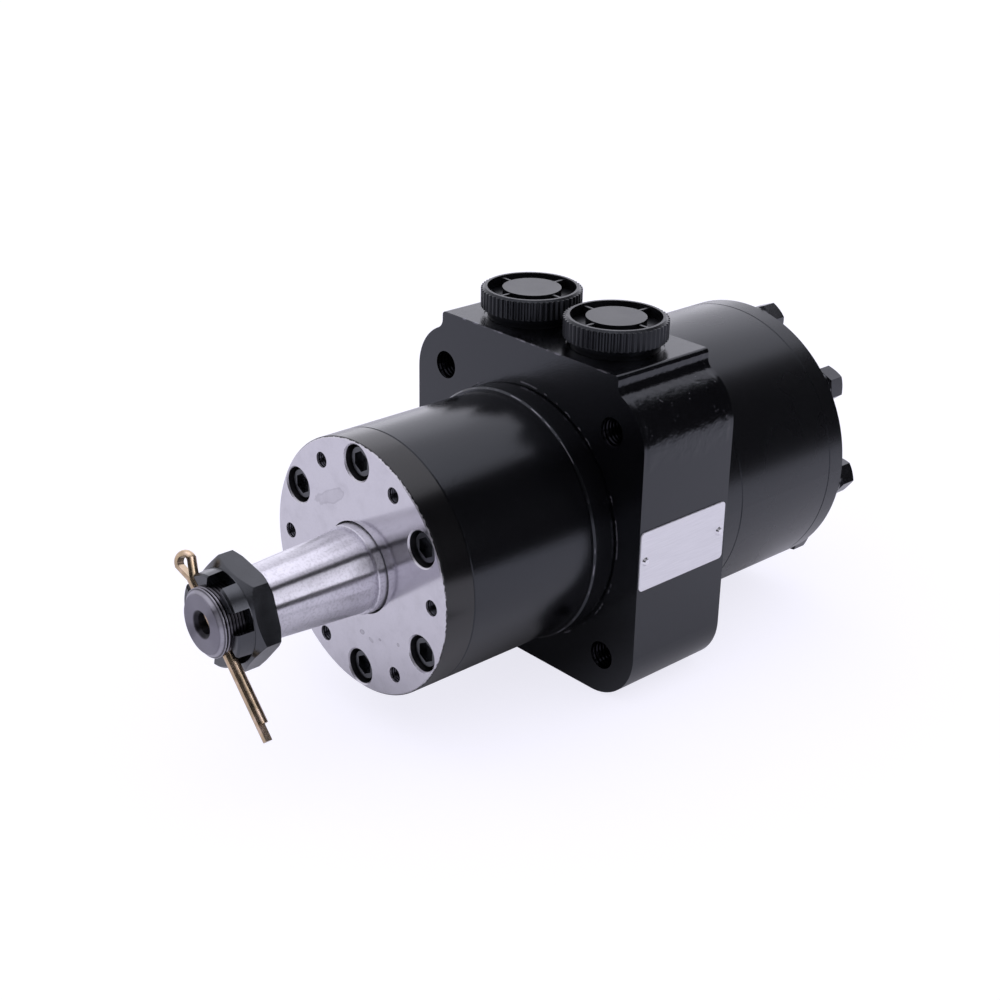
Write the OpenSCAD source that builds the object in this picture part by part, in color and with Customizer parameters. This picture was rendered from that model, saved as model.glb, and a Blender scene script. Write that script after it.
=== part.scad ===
// Low-speed orbital hydraulic motor with a roller gear set, spool valve and tapered shaft.
// Frame: shaft axis along Y with the output end at -Y, ports up at +Z, nameplate side at +X.
// The origin lies on the shaft axis in the plane of the flange's mounting face.

/* [Flange block] */
// Width and height of the square flange block
block_w = 142; // [136:1:156]
// Depth of the block along the shaft axis
block_d = 54.4; // [52:0.2:66]
// Radius of the block's corners
block_corner_r = 24; // [16:1:28]
// Half the spacing of the four flange holes
flange_hole_pos = 52.2; // [50:0.2:56]
// Radius of the flange holes at the thread's crest
flange_hole_r = 6.35; // [5:0.05:7]
// Depth of the flange holes
flange_hole_depth = 24; // [16:1:30]
// Height of the port pad above the shaft axis
pad_top = 77.1; // [75:0.1:84]
// Half the width of the port pad
pad_half_w = 54.6; // [52:0.2:60]
// Radius of the fillet between the pad and the block's shoulder
pad_fillet_r = 5; // [2:0.5:6]
// Radius of the pad's rounded side edges
pad_edge_r = 2; // [0.5:0.5:3]

/* [Barrel and pilot] */
// Radius of the pilot register
pilot_r = 57.15; // [56.5:0.05:60]
// Length of the pilot register
pilot_len = 11.7; // [8:0.1:14]
// Thickness of the front barrel's wall around the bearings
barrel_wall = 18.8; // [18:0.1:19.4]
// Length of the barrel in front of the pilot
barrel_len = 65.2; // [64:0.2:80]
// Width of the relief groove turned in the flange's face around the pilot
pilot_groove_w = 0.9; // [0.3:0.05:1.5]

/* [Front cover] */
// Thickness of the front cover
cover_t = 14.6; // [14:0.1:20]
// Distance from the bearing cups to the circle that the cover's holes lie on
cover_hole_offset = 9.8; // [9.6:0.1:10.4]
// Number of cover screws, with a tapped hole between each two
cover_screws = 6; // [4:1:6]
// Radius of a cover screw's head
cover_head_r = 6.9; // [5.5:0.1:7]
// Length of a cover screw's head
cover_head_len = 7.6; // [6:0.1:9]
// Depth of the screw heads below the cover's face
cover_head_sink = 2.4; // [0.5:0.1:2.6]
// Radius of a cover screw's shank
cover_shank_r = 4.7; // [3:0.1:5]
// Length of a cover screw's shank
cover_shank_len = 24; // [16:1:30]
// Size across flats of the cover screws' sockets
cover_socket_af = 7.9; // [5:0.1:9]
// Radius of the tapped holes in the cover
cover_tap_r = 3.4; // [2.5:0.1:4]
// Depth of the tapped holes in the cover
cover_tap_depth = 12; // [6:0.5:13]

/* [Output shaft] */
// Radius of the shaft's journal in the cover
journal_r = 19.05; // [18.5:0.05:20]
// Length of journal that stands out of the cover
journal_out = 3.5; // [2:0.1:10]
// Length of the taper that carries the hub
taper_len = 45; // [36:1:60]
// Radius of the taper at its large end
taper_r = 18; // [17.5:0.1:18.2]
// Taper on diameter, as one part in this many
taper_ratio = 8; // [7:0.5:12]
// Radius of the threaded end at the thread's crest
thread_r = 14.29; // [13:0.01:14.4]
// Depth of the thread
thread_depth = 0.85; // [0.5:0.05:1.2]
// Pitch of the thread
thread_pitch = 1.41; // [1:0.01:2]
// Length of the threaded end with its undercut
thread_len = 24.2; // [22:0.1:30]
// Radius of the spool section that runs in the housing
spool_r = 25; // [24.5:0.1:26]
// Number of teeth on the drive splines
spline_teeth = 12; // [8:1:12]
// Width of a drive link's tooth at its middle
spline_tooth_w = 4; // [3:0.1:4.2]
// Radius of the drive link's tooth tips
spline_tip_r = 16.2; // [15.6:0.1:16.4]
// Radius of the drive link's tooth roots
spline_root_r = 13.1; // [12:0.1:13.2]

/* [Nut, pin and key] */
// Size across flats of the castle nut
nut_af = 41.3; // [38:0.1:46]
// Length of the nut's hexagon
nut_hex_len = 10.2; // [6:0.1:12]
// Length of the nut's slotted crown
nut_crown_len = 7.3; // [6:0.1:9]
// Radius of the crown at its root
nut_crown_r = 19.5; // [18:0.1:20]
// Width of the crown's slots
nut_slot_w = 9; // [6:0.1:10]
// Turn of the nut's slots past the cotter pin
nut_turn = 5; // [-5:0.5:5]
// Distance from the shaft's end to the nut's front
nut_setback = 4.2; // [2:0.1:4.5]
// Radius of the cotter pin
pin_r = 2.45; // [1.5:0.05:2.6]
// Direction of the cotter pin's tail about the shaft axis, from +X to +Z
pin_angle = -47; // [-180:1:180]
// Distance from the shaft axis to the end of the pin's short leg
pin_short_leg = 44.3; // [28:0.1:50]
// Distance from the shaft axis to the end of the pin's long leg
pin_long_leg = 51; // [30:0.1:60]
// Turn of the cotter pin about its own length
pin_twist = 58; // [-90:1:90]
// Width of the key in the taper
key_w = 6.35; // [4:0.05:8]
// Radius of the key's round edge
key_r = 12.7; // [10:0.1:14]
// Height of the key from its flat to the bottom of its round edge
key_h = 11.1; // [8:0.1:11.5]
// Height of the key above the taper
key_proud = 3.2; // [2:0.1:4]
// Direction of the key about the shaft axis
key_angle = 223; // [180:1:270]

/* [Bearings] */
// Radius of the bearing seats on the shaft
cone_bore_r = 20.64; // [20.4:0.01:21]
// Height of the bearings' section between the shaft and the housing
bearing_section = 16.06; // [15.8:0.01:16.4]
// Width of each bearing
bearing_w = 19.6; // [19.2:0.1:20.4]
// Angle between a bearing roller's axis and the shaft
bearing_angle = 14; // [12:0.5:15]
// Number of rollers in each bearing
bearing_rollers = 18; // [12:1:18]
// Length of a bearing roller
bearing_roller_len = 13; // [10:0.5:13.5]

/* [Gear set] */
// Number of rollers in the ring, one more than the rotor's lobes
ring_rollers = 8; // [8:1:8]
// Radius of the circle through the ring rollers' centres
ring_pitch_r = 40; // [39.6:0.1:40.4]
// Radius of a ring roller
ring_roller_r = 8; // [7.8:0.1:8.2]
// Distance of the rotor's centre from the shaft axis
orbit_r = 3; // [2.6:0.1:3.1]
// Length of the ring and of the gear set in it
ring_len = 61.7; // [52:0.1:90]
// Radius of the ring, the plates and the rear boss
rear_r = 64.4; // [63.9:0.1:68]
// Thickness of the spacer plate in front of the ring
plate_t = 13.1; // [9:0.1:16]
// Thickness of the end cover
end_cover_t = 9.9; // [8:0.1:14]
// Length of the housing's round boss behind the block
rear_boss_len = 5.6; // [4:0.1:12]

/* [End bolts] */
// Radius of the circle that the end bolts lie on
bolt_circle_r = 57; // [56.4:0.1:58]
// Direction of the first end bolt, from +X to +Z
bolt_phase = 37.5; // [30:0.5:40]
// Radius of an end bolt's shank
bolt_r = 4.7; // [4:0.1:4.8]
// Size across flats of an end bolt's head
bolt_af = 15; // [12:0.1:16]
// Height of an end bolt's head with its washer face
bolt_head_h = 10; // [4:0.1:11]
// Length of thread that an end bolt has in the housing
bolt_grip = 22; // [14:1:24]

/* [Ports] */
// Distance of each port from the middle plane
port_x = 26; // [25:0.1:28]
// Radius of the port's bore
port_r = 12.6; // [11:0.1:13]
// Depth of the port
port_depth = 19; // [14:0.5:20]
// Radius of a transport plug's knurled head
plug_head_r = 22.5; // [19:0.1:24]
// Height of the knurled head
plug_head_h = 9; // [6:0.1:12]
// Height of the plug's neck above the pad
plug_neck_h = 4; // [2:0.1:6]
// Radius of the plug's neck
plug_neck_r = 20.6; // [14:0.1:21]
// Number of ridges on the knurled head
plug_ridges = 54; // [36:1:72]
// Length of the plug's stem in the port
plug_stem_len = 14; // [8:0.5:14]

/* [Nameplate] */
// Width of the nameplate along the shaft axis
plate_w = 52; // [40:0.5:52]
// Height of the nameplate
plate_h = 27; // [20:0.5:40]
// Thickness of the nameplate
plate_sheet_t = 0.6; // [0.4:0.1:1.2]
// Distance between the nameplate's rivets
rivet_spacing = 45.8; // [34:0.2:46]
// Radius of a rivet's head
rivet_head_r = 2; // [1.6:0.1:2.4]

/* [Clearances] */
// Gap between the spool and its bore, on the radius
spool_gap = 0.03; // [0.02:0.01:0.06]
// Gap between pieces that are bolted or pressed together, on the radius
fit_gap = 0.03; // [0.02:0.01:0.1]
// Gap between the ring rollers and their pockets, on the radius
pocket_gap = 0.05; // [0.03:0.01:0.08]
// Gap between the rotor's flanks and the ring rollers
rotor_gap = 0.08; // [0.06:0.01:0.12]
// Gap at each end of the parts that turn between the plates
end_gap = 0.05; // [0.03:0.01:0.1]
// Gap at each flank of a spline tooth
spline_gap = 0.14; // [0.12:0.01:0.2]
// Gap between the bearing rollers and their raceways
race_gap = 0.04; // [0.03:0.01:0.06]
// Gap between a transport plug's stem and the port
plug_gap = 0.25; // [0.15:0.05:0.3]

/* [Hidden] */
$fn = 96;

// Grooves, edges and relief cuts
over = 1;
edge = 0.8;
neck_w = 3;
neck_depth = 0.9;
undercut_len = 2.5;
hole_chamfer = 0.6;
pilot_groove_depth = 0.8;

// Bearing seats, barrel and the circle of the cover's holes
cup_r = cone_bore_r + bearing_section;
bearing_pitch_r = cone_bore_r + bearing_section / 2;
barrel_r = cup_r + barrel_wall;
cover_circle_r = cup_r + cover_hole_offset;

// Planes along the shaft axis, from the flange's face
boss_rear = block_d + rear_boss_len;
plate_rear = boss_rear + plate_t;
ring_rear = plate_rear + ring_len;
end_rear = ring_rear + end_cover_t;
barrel_front = -pilot_len - barrel_len;
cover_front = barrel_front - cover_t;
taper_rear = cover_front - journal_out - neck_w;
taper_front = taper_rear - taper_len;
shaft_front = taper_front - thread_len;
nut_front = shaft_front + nut_setback;
nut_rear = nut_front + nut_crown_len + nut_hex_len;
pin_y = nut_front + 1.2;
cups_rear = -8.5;
cone_shoulder = cups_rear - 0.2;

// Cover and seals
cover_bore_r = journal_r + 0.9;
cover_spigot_len = 2;
seal_r = 30;
seal_len = 9;
seal_lip_gap = 0.05;
wiper_r = 24;
wiper_len = 3.4;
wiper_setback = 1.2;
seal_web = 1;
cover_screw_phase = 30;
counterbore_gap = 0.8;
o_ring_r = 1.3;
o_ring_room = 0.1;
cover_ring_mid_r = cup_r + fit_gap + o_ring_r + o_ring_room;
o_ring_groove_depth = 2 * (o_ring_r + o_ring_room / 2);

// Bearings, each drawn from the large end of its rollers at y = 0
cups_front = barrel_front + cover_spigot_len;
roller_half_angle = 2;
roller_mid = bearing_w / 2 - 0.2;
bearing_apex = roller_mid + bearing_pitch_r / tan(bearing_angle);
apex_to_roller = bearing_pitch_r / sin(bearing_angle);
cone_w = bearing_w + cone_shoulder - cups_rear;
cup_start = 3;
cone_rib = 2;
cone_rib_h = 1.3;
small_rib_start = roller_mid + bearing_roller_len / 2 + 0.2;
cage_t = 1.4;
cage_offset = 0.9;
cage_start = 0.5;
cage_end = bearing_w - 1;
cage_gap = 0.2;
spacer_r = 24.6;
ring_groove_w = 1.7;
ring_groove_depth = 1;
retaining_ring_h = 3;

// Spool valve: two ring grooves and the slots between them
groove_w = 8;
groove_a_y = 11;
groove_b_y = 40;
valve_y = (groove_a_y + groove_b_y) / 2;
housing_groove_r = spool_r + 5;
spool_groove_depth = 2.6;
valve_slot_w = 4.4;
valve_slot_depth = 2.4;
passage_r = 3;
passage_circle_r = 35;
window_w = 5.4;
window_len = 6;
port_passage_r = 5;

// Gear set
ring_phase = bolt_phase + 180 / ring_rollers;
rotor_lobes = ring_rollers - 1;
ring_bore_r = ring_pitch_r + 2 * orbit_r - ring_roller_r + 0.3;
bolt_hole_r = bolt_r + 0.3;
bolt_washer_t = 1.6;
rear_ring_mid_r = ring_pitch_r + ring_roller_r + 1.9;
plate_bore_r = 20;
rotor_points = 36;
rotor_front = plate_rear + end_gap;
rotor_rear = ring_rear - end_gap;

// Drive link and its splines
spline_len = 20;
spline_crown_r = 60;
spline_front_y = 20;
spline_rear_y = 104;
link_span = sqrt(pow(spline_rear_y - spline_front_y, 2) + pow(orbit_r, 2));
link_tilt = atan(orbit_r / (spline_rear_y - spline_front_y));
link_end = 12;
link_waist_r = 11.2;
spline_bore_r = spline_root_r + 0.9;
spline_slot_r = spline_tip_r + 0.45;
spline_relief_r = spline_slot_r + 0.4;
drive_spacer_front = spline_rear_y + link_end + 2;

// Shaft end
thread_root_r = thread_r - thread_depth;
thread_crest_w = 0.2;
end_chamfer = 1.4;
thread_turns = floor((thread_len - undercut_len - end_chamfer) / thread_pitch);
centre_hole_r = 4.4;
centre_mouth_r = 6;
centre_mouth_len = 1.5;
centre_hole_len = 9;
centre_tip_len = 2.4;
spline_cone_len = 8;

// Plugs, nut and plate
spotface_r = 21;
spotface_depth = 0.6;
passage_end_z = spool_r - 2;
passage_end_x = 12;
plug_top_recess = 4.5;
plug_rim = 2.8;
plug_disc_r = 13;
plug_webs = 4;
ridge_depth = 0.8;
nut_slot_depth = nut_crown_len - 0.3;
pin_play = 0.25;
pin_flat_depth = 0.6;
pin_flat_edge = 0.3;
eye_r = 2.3;
eye_distance = 25.4;
eye_neck = 19;
plate_corner_r = 2;
nameplate_y = block_d / 2 - 0.7;
nameplate_z = -0.7;
rivet_r = 1.3;
rivet_len = 5;
rivet_head_h = 1;

// Colours
paint = [0.14, 0.14, 0.15];
bare_steel = [0.76, 0.77, 0.8];
ground_steel = [0.82, 0.83, 0.86];
black_oxide = [0.2, 0.2, 0.22];
gold_zinc = [0.82, 0.68, 0.36];
rubber = [0.08, 0.08, 0.08];
black_plastic = [0.05, 0.05, 0.055];
sheet_aluminium = [0.83, 0.83, 0.87];

// Helpers: y0 and y1 are planes along the shaft axis, angles go from +X to +Z

module slab(y0, y1) {
    translate([0, y1, 0]) rotate([90, 0, 0]) linear_extrude(y1 - y0) children();
}

module rod(y0, y1, r) {
    slab(y0, y1) circle(r);
}

module turned(points) {
    rotate([-90, 0, 0]) rotate_extrude() polygon(points);
}

module polar(r, angle) {
    translate([r * cos(angle), 0, r * sin(angle)]) rotate([0, -angle, 0]) children();
}

module around(count, r, phase) {
    for (k = [0:count - 1]) polar(r, phase + 360 * k / count) children();
}

// A torus about the shaft axis, for the O-rings
module o_ring(mid_r, y) {
    translate([0, y, 0]) rotate([-90, 0, 0]) rotate_extrude() translate([mid_r, 0]) circle(o_ring_r, $fn = 32);
}

// A straight drilling from one point to another
module drilling(from, to, r) {
    way = to - from;
    reach = norm(way);
    translate(from)
        rotate([0, acos(way[2] / reach), atan2(way[1], way[0])])
            cylinder(r = r, h = reach);
}

// Housing

function fillet_height(side_x, c, r, f) = c + sqrt(pow(r + f, 2) - pow(side_x + f - c, 2));

module pad_fillet() {
    c = block_w / 2 - block_corner_r;
    f = pad_fillet_r;
    fx = pad_half_w + f;
    fz = fillet_height(pad_half_w, c, block_corner_r, f);
    share = block_corner_r / (block_corner_r + f);
    touch = [c + (fx - c) * share, c + (fz - c) * share];
    difference() {
        polygon([[pad_half_w - 2, fz], [fx, fz], touch, [pad_half_w - 2, touch[1] - 2]]);
        translate([fx, fz]) circle(f);
    }
}

module block_outline() {
    flat = block_w - 2 * block_corner_r;
    square([flat, block_w], center = true);
    square([block_w, flat], center = true);
    for (x = [-1, 1], z = [-1, 1])
        translate([x * flat / 2, z * flat / 2]) circle(block_corner_r);
    translate([-pad_half_w, 0]) square([2 * pad_half_w, pad_top - pad_edge_r]);
    translate([pad_edge_r - pad_half_w, 0]) square([2 * (pad_half_w - pad_edge_r), pad_top]);
    for (x = [-1, 1])
        translate([x * (pad_half_w - pad_edge_r), pad_top - pad_edge_r]) circle(pad_edge_r);
    pad_fillet();
    mirror([1, 0]) pad_fillet();
}

module housing_body() {
    slab(0, block_d) block_outline();
    turned([
        [0, barrel_front], [barrel_r - edge, barrel_front], [barrel_r, barrel_front + edge],
        [barrel_r, -pilot_len], [pilot_r - edge, -pilot_len], [pilot_r, -pilot_len + edge],
        [pilot_r, over], [0, over]
    ]);
    turned([
        [0, block_d - over], [rear_r, block_d - over], [rear_r, boss_rear - edge / 2],
        [rear_r - edge / 2, boss_rear], [0, boss_rear]
    ]);
}

module housing_bores() {
    turned([
        [0, barrel_front - over], [cup_r + fit_gap, barrel_front - over], [cup_r + fit_gap, cups_rear],
        [spool_r + spool_gap, cups_rear], [spool_r + spool_gap, boss_rear + over], [0, boss_rear + over]
    ]);
    turned([
        [cup_r - over, barrel_front - over], [cover_ring_mid_r + o_ring_r + o_ring_room, barrel_front - over],
        [cover_ring_mid_r + o_ring_r + o_ring_room, barrel_front + o_ring_groove_depth],
        [cup_r - over, barrel_front + o_ring_groove_depth]
    ]);
    for (y = [groove_a_y, groove_b_y])
        turned([
            [spool_r - over, y - groove_w / 2], [housing_groove_r, y - groove_w / 2],
            [housing_groove_r, y + groove_w / 2], [spool_r - over, y + groove_w / 2]
        ]);
}

module housing_passages() {
    around(ring_rollers, passage_circle_r, bolt_phase)
        rod(valve_y - passage_r, boss_rear + over, passage_r);
    for (k = [0:ring_rollers - 1])
        rotate([0, -(bolt_phase + 360 * k / ring_rollers), 0])
            translate([spool_r - over, valve_y - window_len / 2, -window_w / 2])
                cube([passage_circle_r - spool_r + over, window_len, window_w]);
}

module port_cut(side, groove_y) {
    translate([side * port_x, block_d / 2, pad_top - port_depth]) {
        cylinder(r = port_r, h = port_depth + over);
        translate([0, 0, port_depth - spotface_depth]) cylinder(r = spotface_r, h = spotface_depth + over);
    }
    drilling(
        [side * port_x, block_d / 2, pad_top - port_depth + over],
        [side * passage_end_x, groove_y, passage_end_z],
        port_passage_r
    );
}

module pilot_groove() {
    turned([
        [pilot_r, -over], [pilot_r + pilot_groove_w, -over],
        [pilot_r + pilot_groove_w, pilot_groove_depth], [pilot_r, pilot_groove_depth]
    ]);
}

module flange_holes() {
    for (x = [-1, 1], z = [-1, 1])
        translate([x * flange_hole_pos, 0, z * flange_hole_pos]) rod(-over, flange_hole_depth, flange_hole_r);
}

module rivet_places() {
    for (side = [-1, 1])
        translate([block_w / 2, nameplate_y + side * rivet_spacing / 2, nameplate_z])
            rotate([0, 90, 0]) children();
}

module main_housing() {
    color(paint) difference() {
        housing_body();
        housing_bores();
        housing_passages();
        pilot_groove();
        flange_holes();
        port_cut(-1, groove_a_y);
        port_cut(1, groove_b_y);
        around(cover_screws, cover_circle_r, cover_screw_phase)
            rod(barrel_front - over, cover_seat + cover_shank_len + 2, cover_shank_r + fit_gap);
        around(ring_rollers, bolt_circle_r, bolt_phase)
            rod(boss_rear - bolt_grip - 2, boss_rear + over, bolt_r + fit_gap);
        rivet_places() translate([0, 0, -rivet_len - 0.5]) cylinder(r = rivet_r + fit_gap, h = rivet_len + 2);
    }
}

// Front cover, its screws and seals

cover_seat = cover_front + cover_head_sink + cover_head_len;
seal_front = cover_front + wiper_setback + wiper_len + seal_web;

module front_cover() {
    pocket_r = seal_r + fit_gap;
    color(bare_steel) difference() {
        turned([
            [cover_bore_r, cover_front], [barrel_r - edge, cover_front], [barrel_r, cover_front + edge],
            [barrel_r, barrel_front], [cup_r, barrel_front], [cup_r, cups_front], [pocket_r, cups_front],
            [pocket_r, seal_front], [cover_bore_r, seal_front], [cover_bore_r, seal_front - seal_web],
            [wiper_r + fit_gap, seal_front - seal_web], [wiper_r + fit_gap, cover_front + wiper_setback],
            [cover_bore_r, cover_front + wiper_setback]
        ]);
        around(cover_screws, cover_circle_r, cover_screw_phase) {
            rod(cover_front - over, cover_seat, cover_head_r + counterbore_gap);
            rod(cover_front, barrel_front + over, cover_shank_r + 0.3);
            turned([
                [0, cover_front - over], [cover_head_r + counterbore_gap + hole_chamfer + over, cover_front - over],
                [cover_head_r + counterbore_gap, cover_front + hole_chamfer], [0, cover_front + hole_chamfer]
            ]);
        }
        around(cover_screws, cover_circle_r, cover_screw_phase + 180 / cover_screws)
            rod(cover_front - over, cover_front + cover_tap_depth, cover_tap_r);
    }
}

module cover_screw() {
    head_front = cover_seat - cover_head_len;
    difference() {
        turned([
            [0, head_front], [cover_head_r - edge, head_front], [cover_head_r, head_front + edge],
            [cover_head_r, cover_seat], [cover_shank_r, cover_seat],
            [cover_shank_r, cover_seat + cover_shank_len - edge],
            [cover_shank_r - edge, cover_seat + cover_shank_len], [0, cover_seat + cover_shank_len]
        ]);
        slab(head_front - over, head_front + cover_head_len / 2)
            circle(cover_socket_af / sqrt(3), $fn = 6);
    }
}

module front_cover_screws() {
    color(black_oxide) around(cover_screws, cover_circle_r, cover_screw_phase) cover_screw();
}

// A lip seal: a stiff outer band, a web at the front and a lip that leans towards the pressure
module lip_seal(outer_r, y0, len) {
    lip_r = journal_r + seal_lip_gap;
    wall = len / 5;
    turned([
        [outer_r, y0], [outer_r, y0 + len], [outer_r - wall, y0 + len], [outer_r - wall, y0 + wall],
        [lip_r + 2 * wall, y0 + wall], [lip_r + 1.4 * wall, y0 + 0.7 * len], [lip_r + 0.4 * wall, y0 + 0.75 * len],
        [lip_r, y0 + 0.6 * len], [lip_r + 0.6 * wall, y0 + wall], [lip_r + 0.6 * wall, y0]
    ]);
}

module shaft_seal() {
    color(rubber) lip_seal(seal_r, seal_front, seal_len);
}

module dust_wiper() {
    y0 = cover_front + wiper_setback + end_gap;
    y1 = seal_front - seal_web - end_gap;
    lip_r = journal_r + seal_lip_gap;
    color(rubber) turned([
        [wiper_r, y0], [wiper_r, y1], [lip_r + 0.8, y1], [lip_r, y0 + 0.5], [lip_r + 0.3, y0]
    ]);
}

module cover_o_ring() {
    color(rubber) o_ring(cover_ring_mid_r, barrel_front + o_ring_groove_depth / 2);
}

// Tapered roller bearings

function race_r(t, angle) = (bearing_apex - t) * tan(angle);

module front_bearing_place() {
    translate([0, cups_front + bearing_w, 0]) mirror([0, 1, 0]) children();
}

module rear_bearing_place() {
    translate([0, cups_rear - bearing_w, 0]) children();
}

module bearing_cup() {
    outer = bearing_angle + roller_half_angle;
    turned([
        [race_r(cup_start, outer), cup_start], [cup_r - edge, cup_start], [cup_r, cup_start + edge],
        [cup_r, bearing_w - edge], [cup_r - edge, bearing_w], [race_r(bearing_w, outer), bearing_w]
    ]);
}

module bearing_cone() {
    inner = bearing_angle - roller_half_angle;
    turned([
        [cone_bore_r + fit_gap, 0], [race_r(0, inner) + cone_rib_h, 0],
        [race_r(0, inner) + cone_rib_h, cone_rib], [race_r(cone_rib, inner), cone_rib],
        [race_r(small_rib_start, inner), small_rib_start],
        [race_r(small_rib_start, inner) + 0.9, small_rib_start + 0.2],
        [race_r(small_rib_start, inner) + 0.6, cone_w], [cone_bore_r + fit_gap, cone_w]
    ]);
}

// One roller, grown by a gap: its axis meets the shaft axis at the bearing's apex
module bearing_roller(grow) {
    s0 = apex_to_roller - bearing_roller_len / 2 - max(grow, 0);
    s1 = apex_to_roller + bearing_roller_len / 2 + max(grow, 0);
    translate([0, bearing_apex, 0]) rotate([0, 0, bearing_angle]) rotate([90, 0, 0]) translate([0, 0, s0])
        cylinder(
            r1 = s0 * tan(roller_half_angle) + grow,
            r2 = s1 * tan(roller_half_angle) + grow,
            h = s1 - s0,
            $fn = 48
        );
}

module bearing_roller_set(grow) {
    for (k = [0:bearing_rollers - 1]) rotate([0, 360 * k / bearing_rollers, 0]) bearing_roller(grow);
}

module bearing_cage() {
    inner_a = race_r(cage_start, bearing_angle) + cage_offset;
    inner_b = race_r(cage_end, bearing_angle) + cage_offset;
    difference() {
        turned([
            [inner_a, cage_start], [inner_a + cage_t, cage_start],
            [inner_b + cage_t, cage_end], [inner_b, cage_end]
        ]);
        bearing_roller_set(cage_gap);
    }
}

module front_bearing_cup() {
    color(bare_steel) front_bearing_place() bearing_cup();
}

module rear_bearing_cup() {
    color(bare_steel) rear_bearing_place() bearing_cup();
}

module front_bearing_cone() {
    color(bare_steel) front_bearing_place() bearing_cone();
}

module rear_bearing_cone() {
    color(bare_steel) rear_bearing_place() bearing_cone();
}

module front_bearing_rollers() {
    color(ground_steel) front_bearing_place() bearing_roller_set(-race_gap);
}

module rear_bearing_rollers() {
    color(ground_steel) rear_bearing_place() bearing_roller_set(-race_gap);
}

module front_bearing_cage() {
    color(bare_steel) front_bearing_place() bearing_cage();
}

module rear_bearing_cage() {
    color(bare_steel) rear_bearing_place() bearing_cage();
}

module cone_spacer() {
    y0 = cups_front + bearing_w;
    y1 = cups_rear - bearing_w;
    color(bare_steel) difference() {
        rod(y0, y1, spacer_r);
        rod(y0 - over, y1 + over, cone_bore_r + fit_gap);
    }
}

// An open ring in the shaft's groove, in front of the front cone
module retaining_ring() {
    y1 = cups_front + bearing_w - cone_w - fit_gap;
    color(bare_steel) difference() {
        rod(y1 - ring_groove_w + 0.1, y1, cone_bore_r - ring_groove_depth + retaining_ring_h);
        rod(y1 - 2 * ring_groove_w, y1 + over, cone_bore_r - ring_groove_depth + fit_gap);
        translate([0, y1 - 2 * ring_groove_w, -3]) cube([cone_bore_r + retaining_ring_h, 3 * ring_groove_w, 6]);
    }
}

// Output shaft

module spline_slots(y0, y1) {
    slot_w = spline_tooth_w + 2 * spline_gap;
    for (k = [0:spline_teeth - 1])
        rotate([0, -360 * k / spline_teeth, 0])
            translate([0, y0, -slot_w / 2]) cube([spline_slot_r, y1 - y0, slot_w]);
}

// The thread's ridges, drawn as rings
function thread_ridges() =
    [for (k = [0:thread_turns - 1], side = [-1, 1])
        [thread_r, shaft_front + end_chamfer + (k + 0.5) * thread_pitch + side * thread_crest_w / 2]];

function thread_roots() =
    [for (k = [0:thread_turns]) [thread_root_r, shaft_front + end_chamfer + k * thread_pitch]];

function thread_outline() =
    let (roots = thread_roots(), ridges = thread_ridges())
    [for (k = [0:thread_turns - 1], p = [roots[k], ridges[2 * k], ridges[2 * k + 1]]) p];

module shaft_body() {
    taper_small_r = taper_r - taper_len / (2 * taper_ratio);
    ring_y = cups_front + bearing_w - cone_w - fit_gap;
    turned(concat([[0, shaft_front], [thread_root_r - end_chamfer, shaft_front]], thread_outline(), [
        [thread_root_r, thread_roots()[thread_turns][1]], [thread_root_r, taper_front],
        [taper_small_r, taper_front], [taper_r, taper_rear],
        [taper_r - neck_depth, taper_rear + 0.5], [taper_r - neck_depth, taper_rear + neck_w - 0.5],
        [journal_r - 0.4, taper_rear + neck_w - 0.4], [journal_r, taper_rear + neck_w],
        [journal_r, ring_y - 3.5], [cone_bore_r, ring_y - 2.5], [cone_bore_r, ring_y - ring_groove_w],
        [cone_bore_r - ring_groove_depth, ring_y - ring_groove_w], [cone_bore_r - ring_groove_depth, ring_y],
        [cone_bore_r, ring_y], [cone_bore_r, cone_shoulder], [spool_r - edge, cone_shoulder],
        [spool_r, cone_shoulder + edge], [spool_r, boss_rear - end_gap - edge],
        [spool_r - edge, boss_rear - end_gap], [0, boss_rear - end_gap]
    ]));
}

module shaft_valve_cuts() {
    for (y = [groove_a_y, groove_b_y])
        difference() {
            rod(y - groove_w / 2 + 0.5, y + groove_w / 2 - 0.5, spool_r + over);
            rod(y - groove_w, y + groove_w, spool_r - spool_groove_depth);
        }
    for (k = [0:2 * rotor_lobes - 1], from_y = k % 2 == 0 ? groove_a_y : valve_y - 2)
        rotate([0, -180 * k / rotor_lobes, 0])
            translate([spool_r - valve_slot_depth, from_y, -valve_slot_w / 2])
                cube([valve_slot_depth + over, valve_y + 2 - groove_a_y, valve_slot_w]);
}

module shaft_centre_hole() {
    turned([
        [0, shaft_front - over], [centre_mouth_r + over, shaft_front - over],
        [centre_hole_r, shaft_front + centre_mouth_len], [centre_hole_r, shaft_front + centre_hole_len],
        [0, shaft_front + centre_hole_len + centre_tip_len]
    ]);
}

// Places a child at the middle of the key's flat, with X pointing out of the shaft
module key_place() {
    middle = (taper_front + taper_rear) / 2;
    surface_r = taper_r - (taper_rear - middle) / (2 * taper_ratio);
    rotate([0, -key_angle, 0]) translate([surface_r + key_proud, middle, 0]) children();
}

// The cotter pin's hole, with a square flat cut through the thread at each end
module pin_hole() {
    hole_r = pin_r + pin_play;
    flat_w = 2 * (hole_r + pin_flat_edge);
    flat_x = thread_root_r - pin_flat_depth;
    rotate([0, -pin_angle, 0]) translate([0, pin_y, 0]) {
        translate([-flat_x - over, 0, 0]) rotate([0, 90, 0]) cylinder(r = hole_r, h = 2 * (flat_x + over));
        for (x = [-thread_r - over, flat_x])
            translate([x, -flat_w / 2, -flat_w / 2]) cube([thread_r + over - flat_x, flat_w, flat_w]);
    }
}

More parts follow.
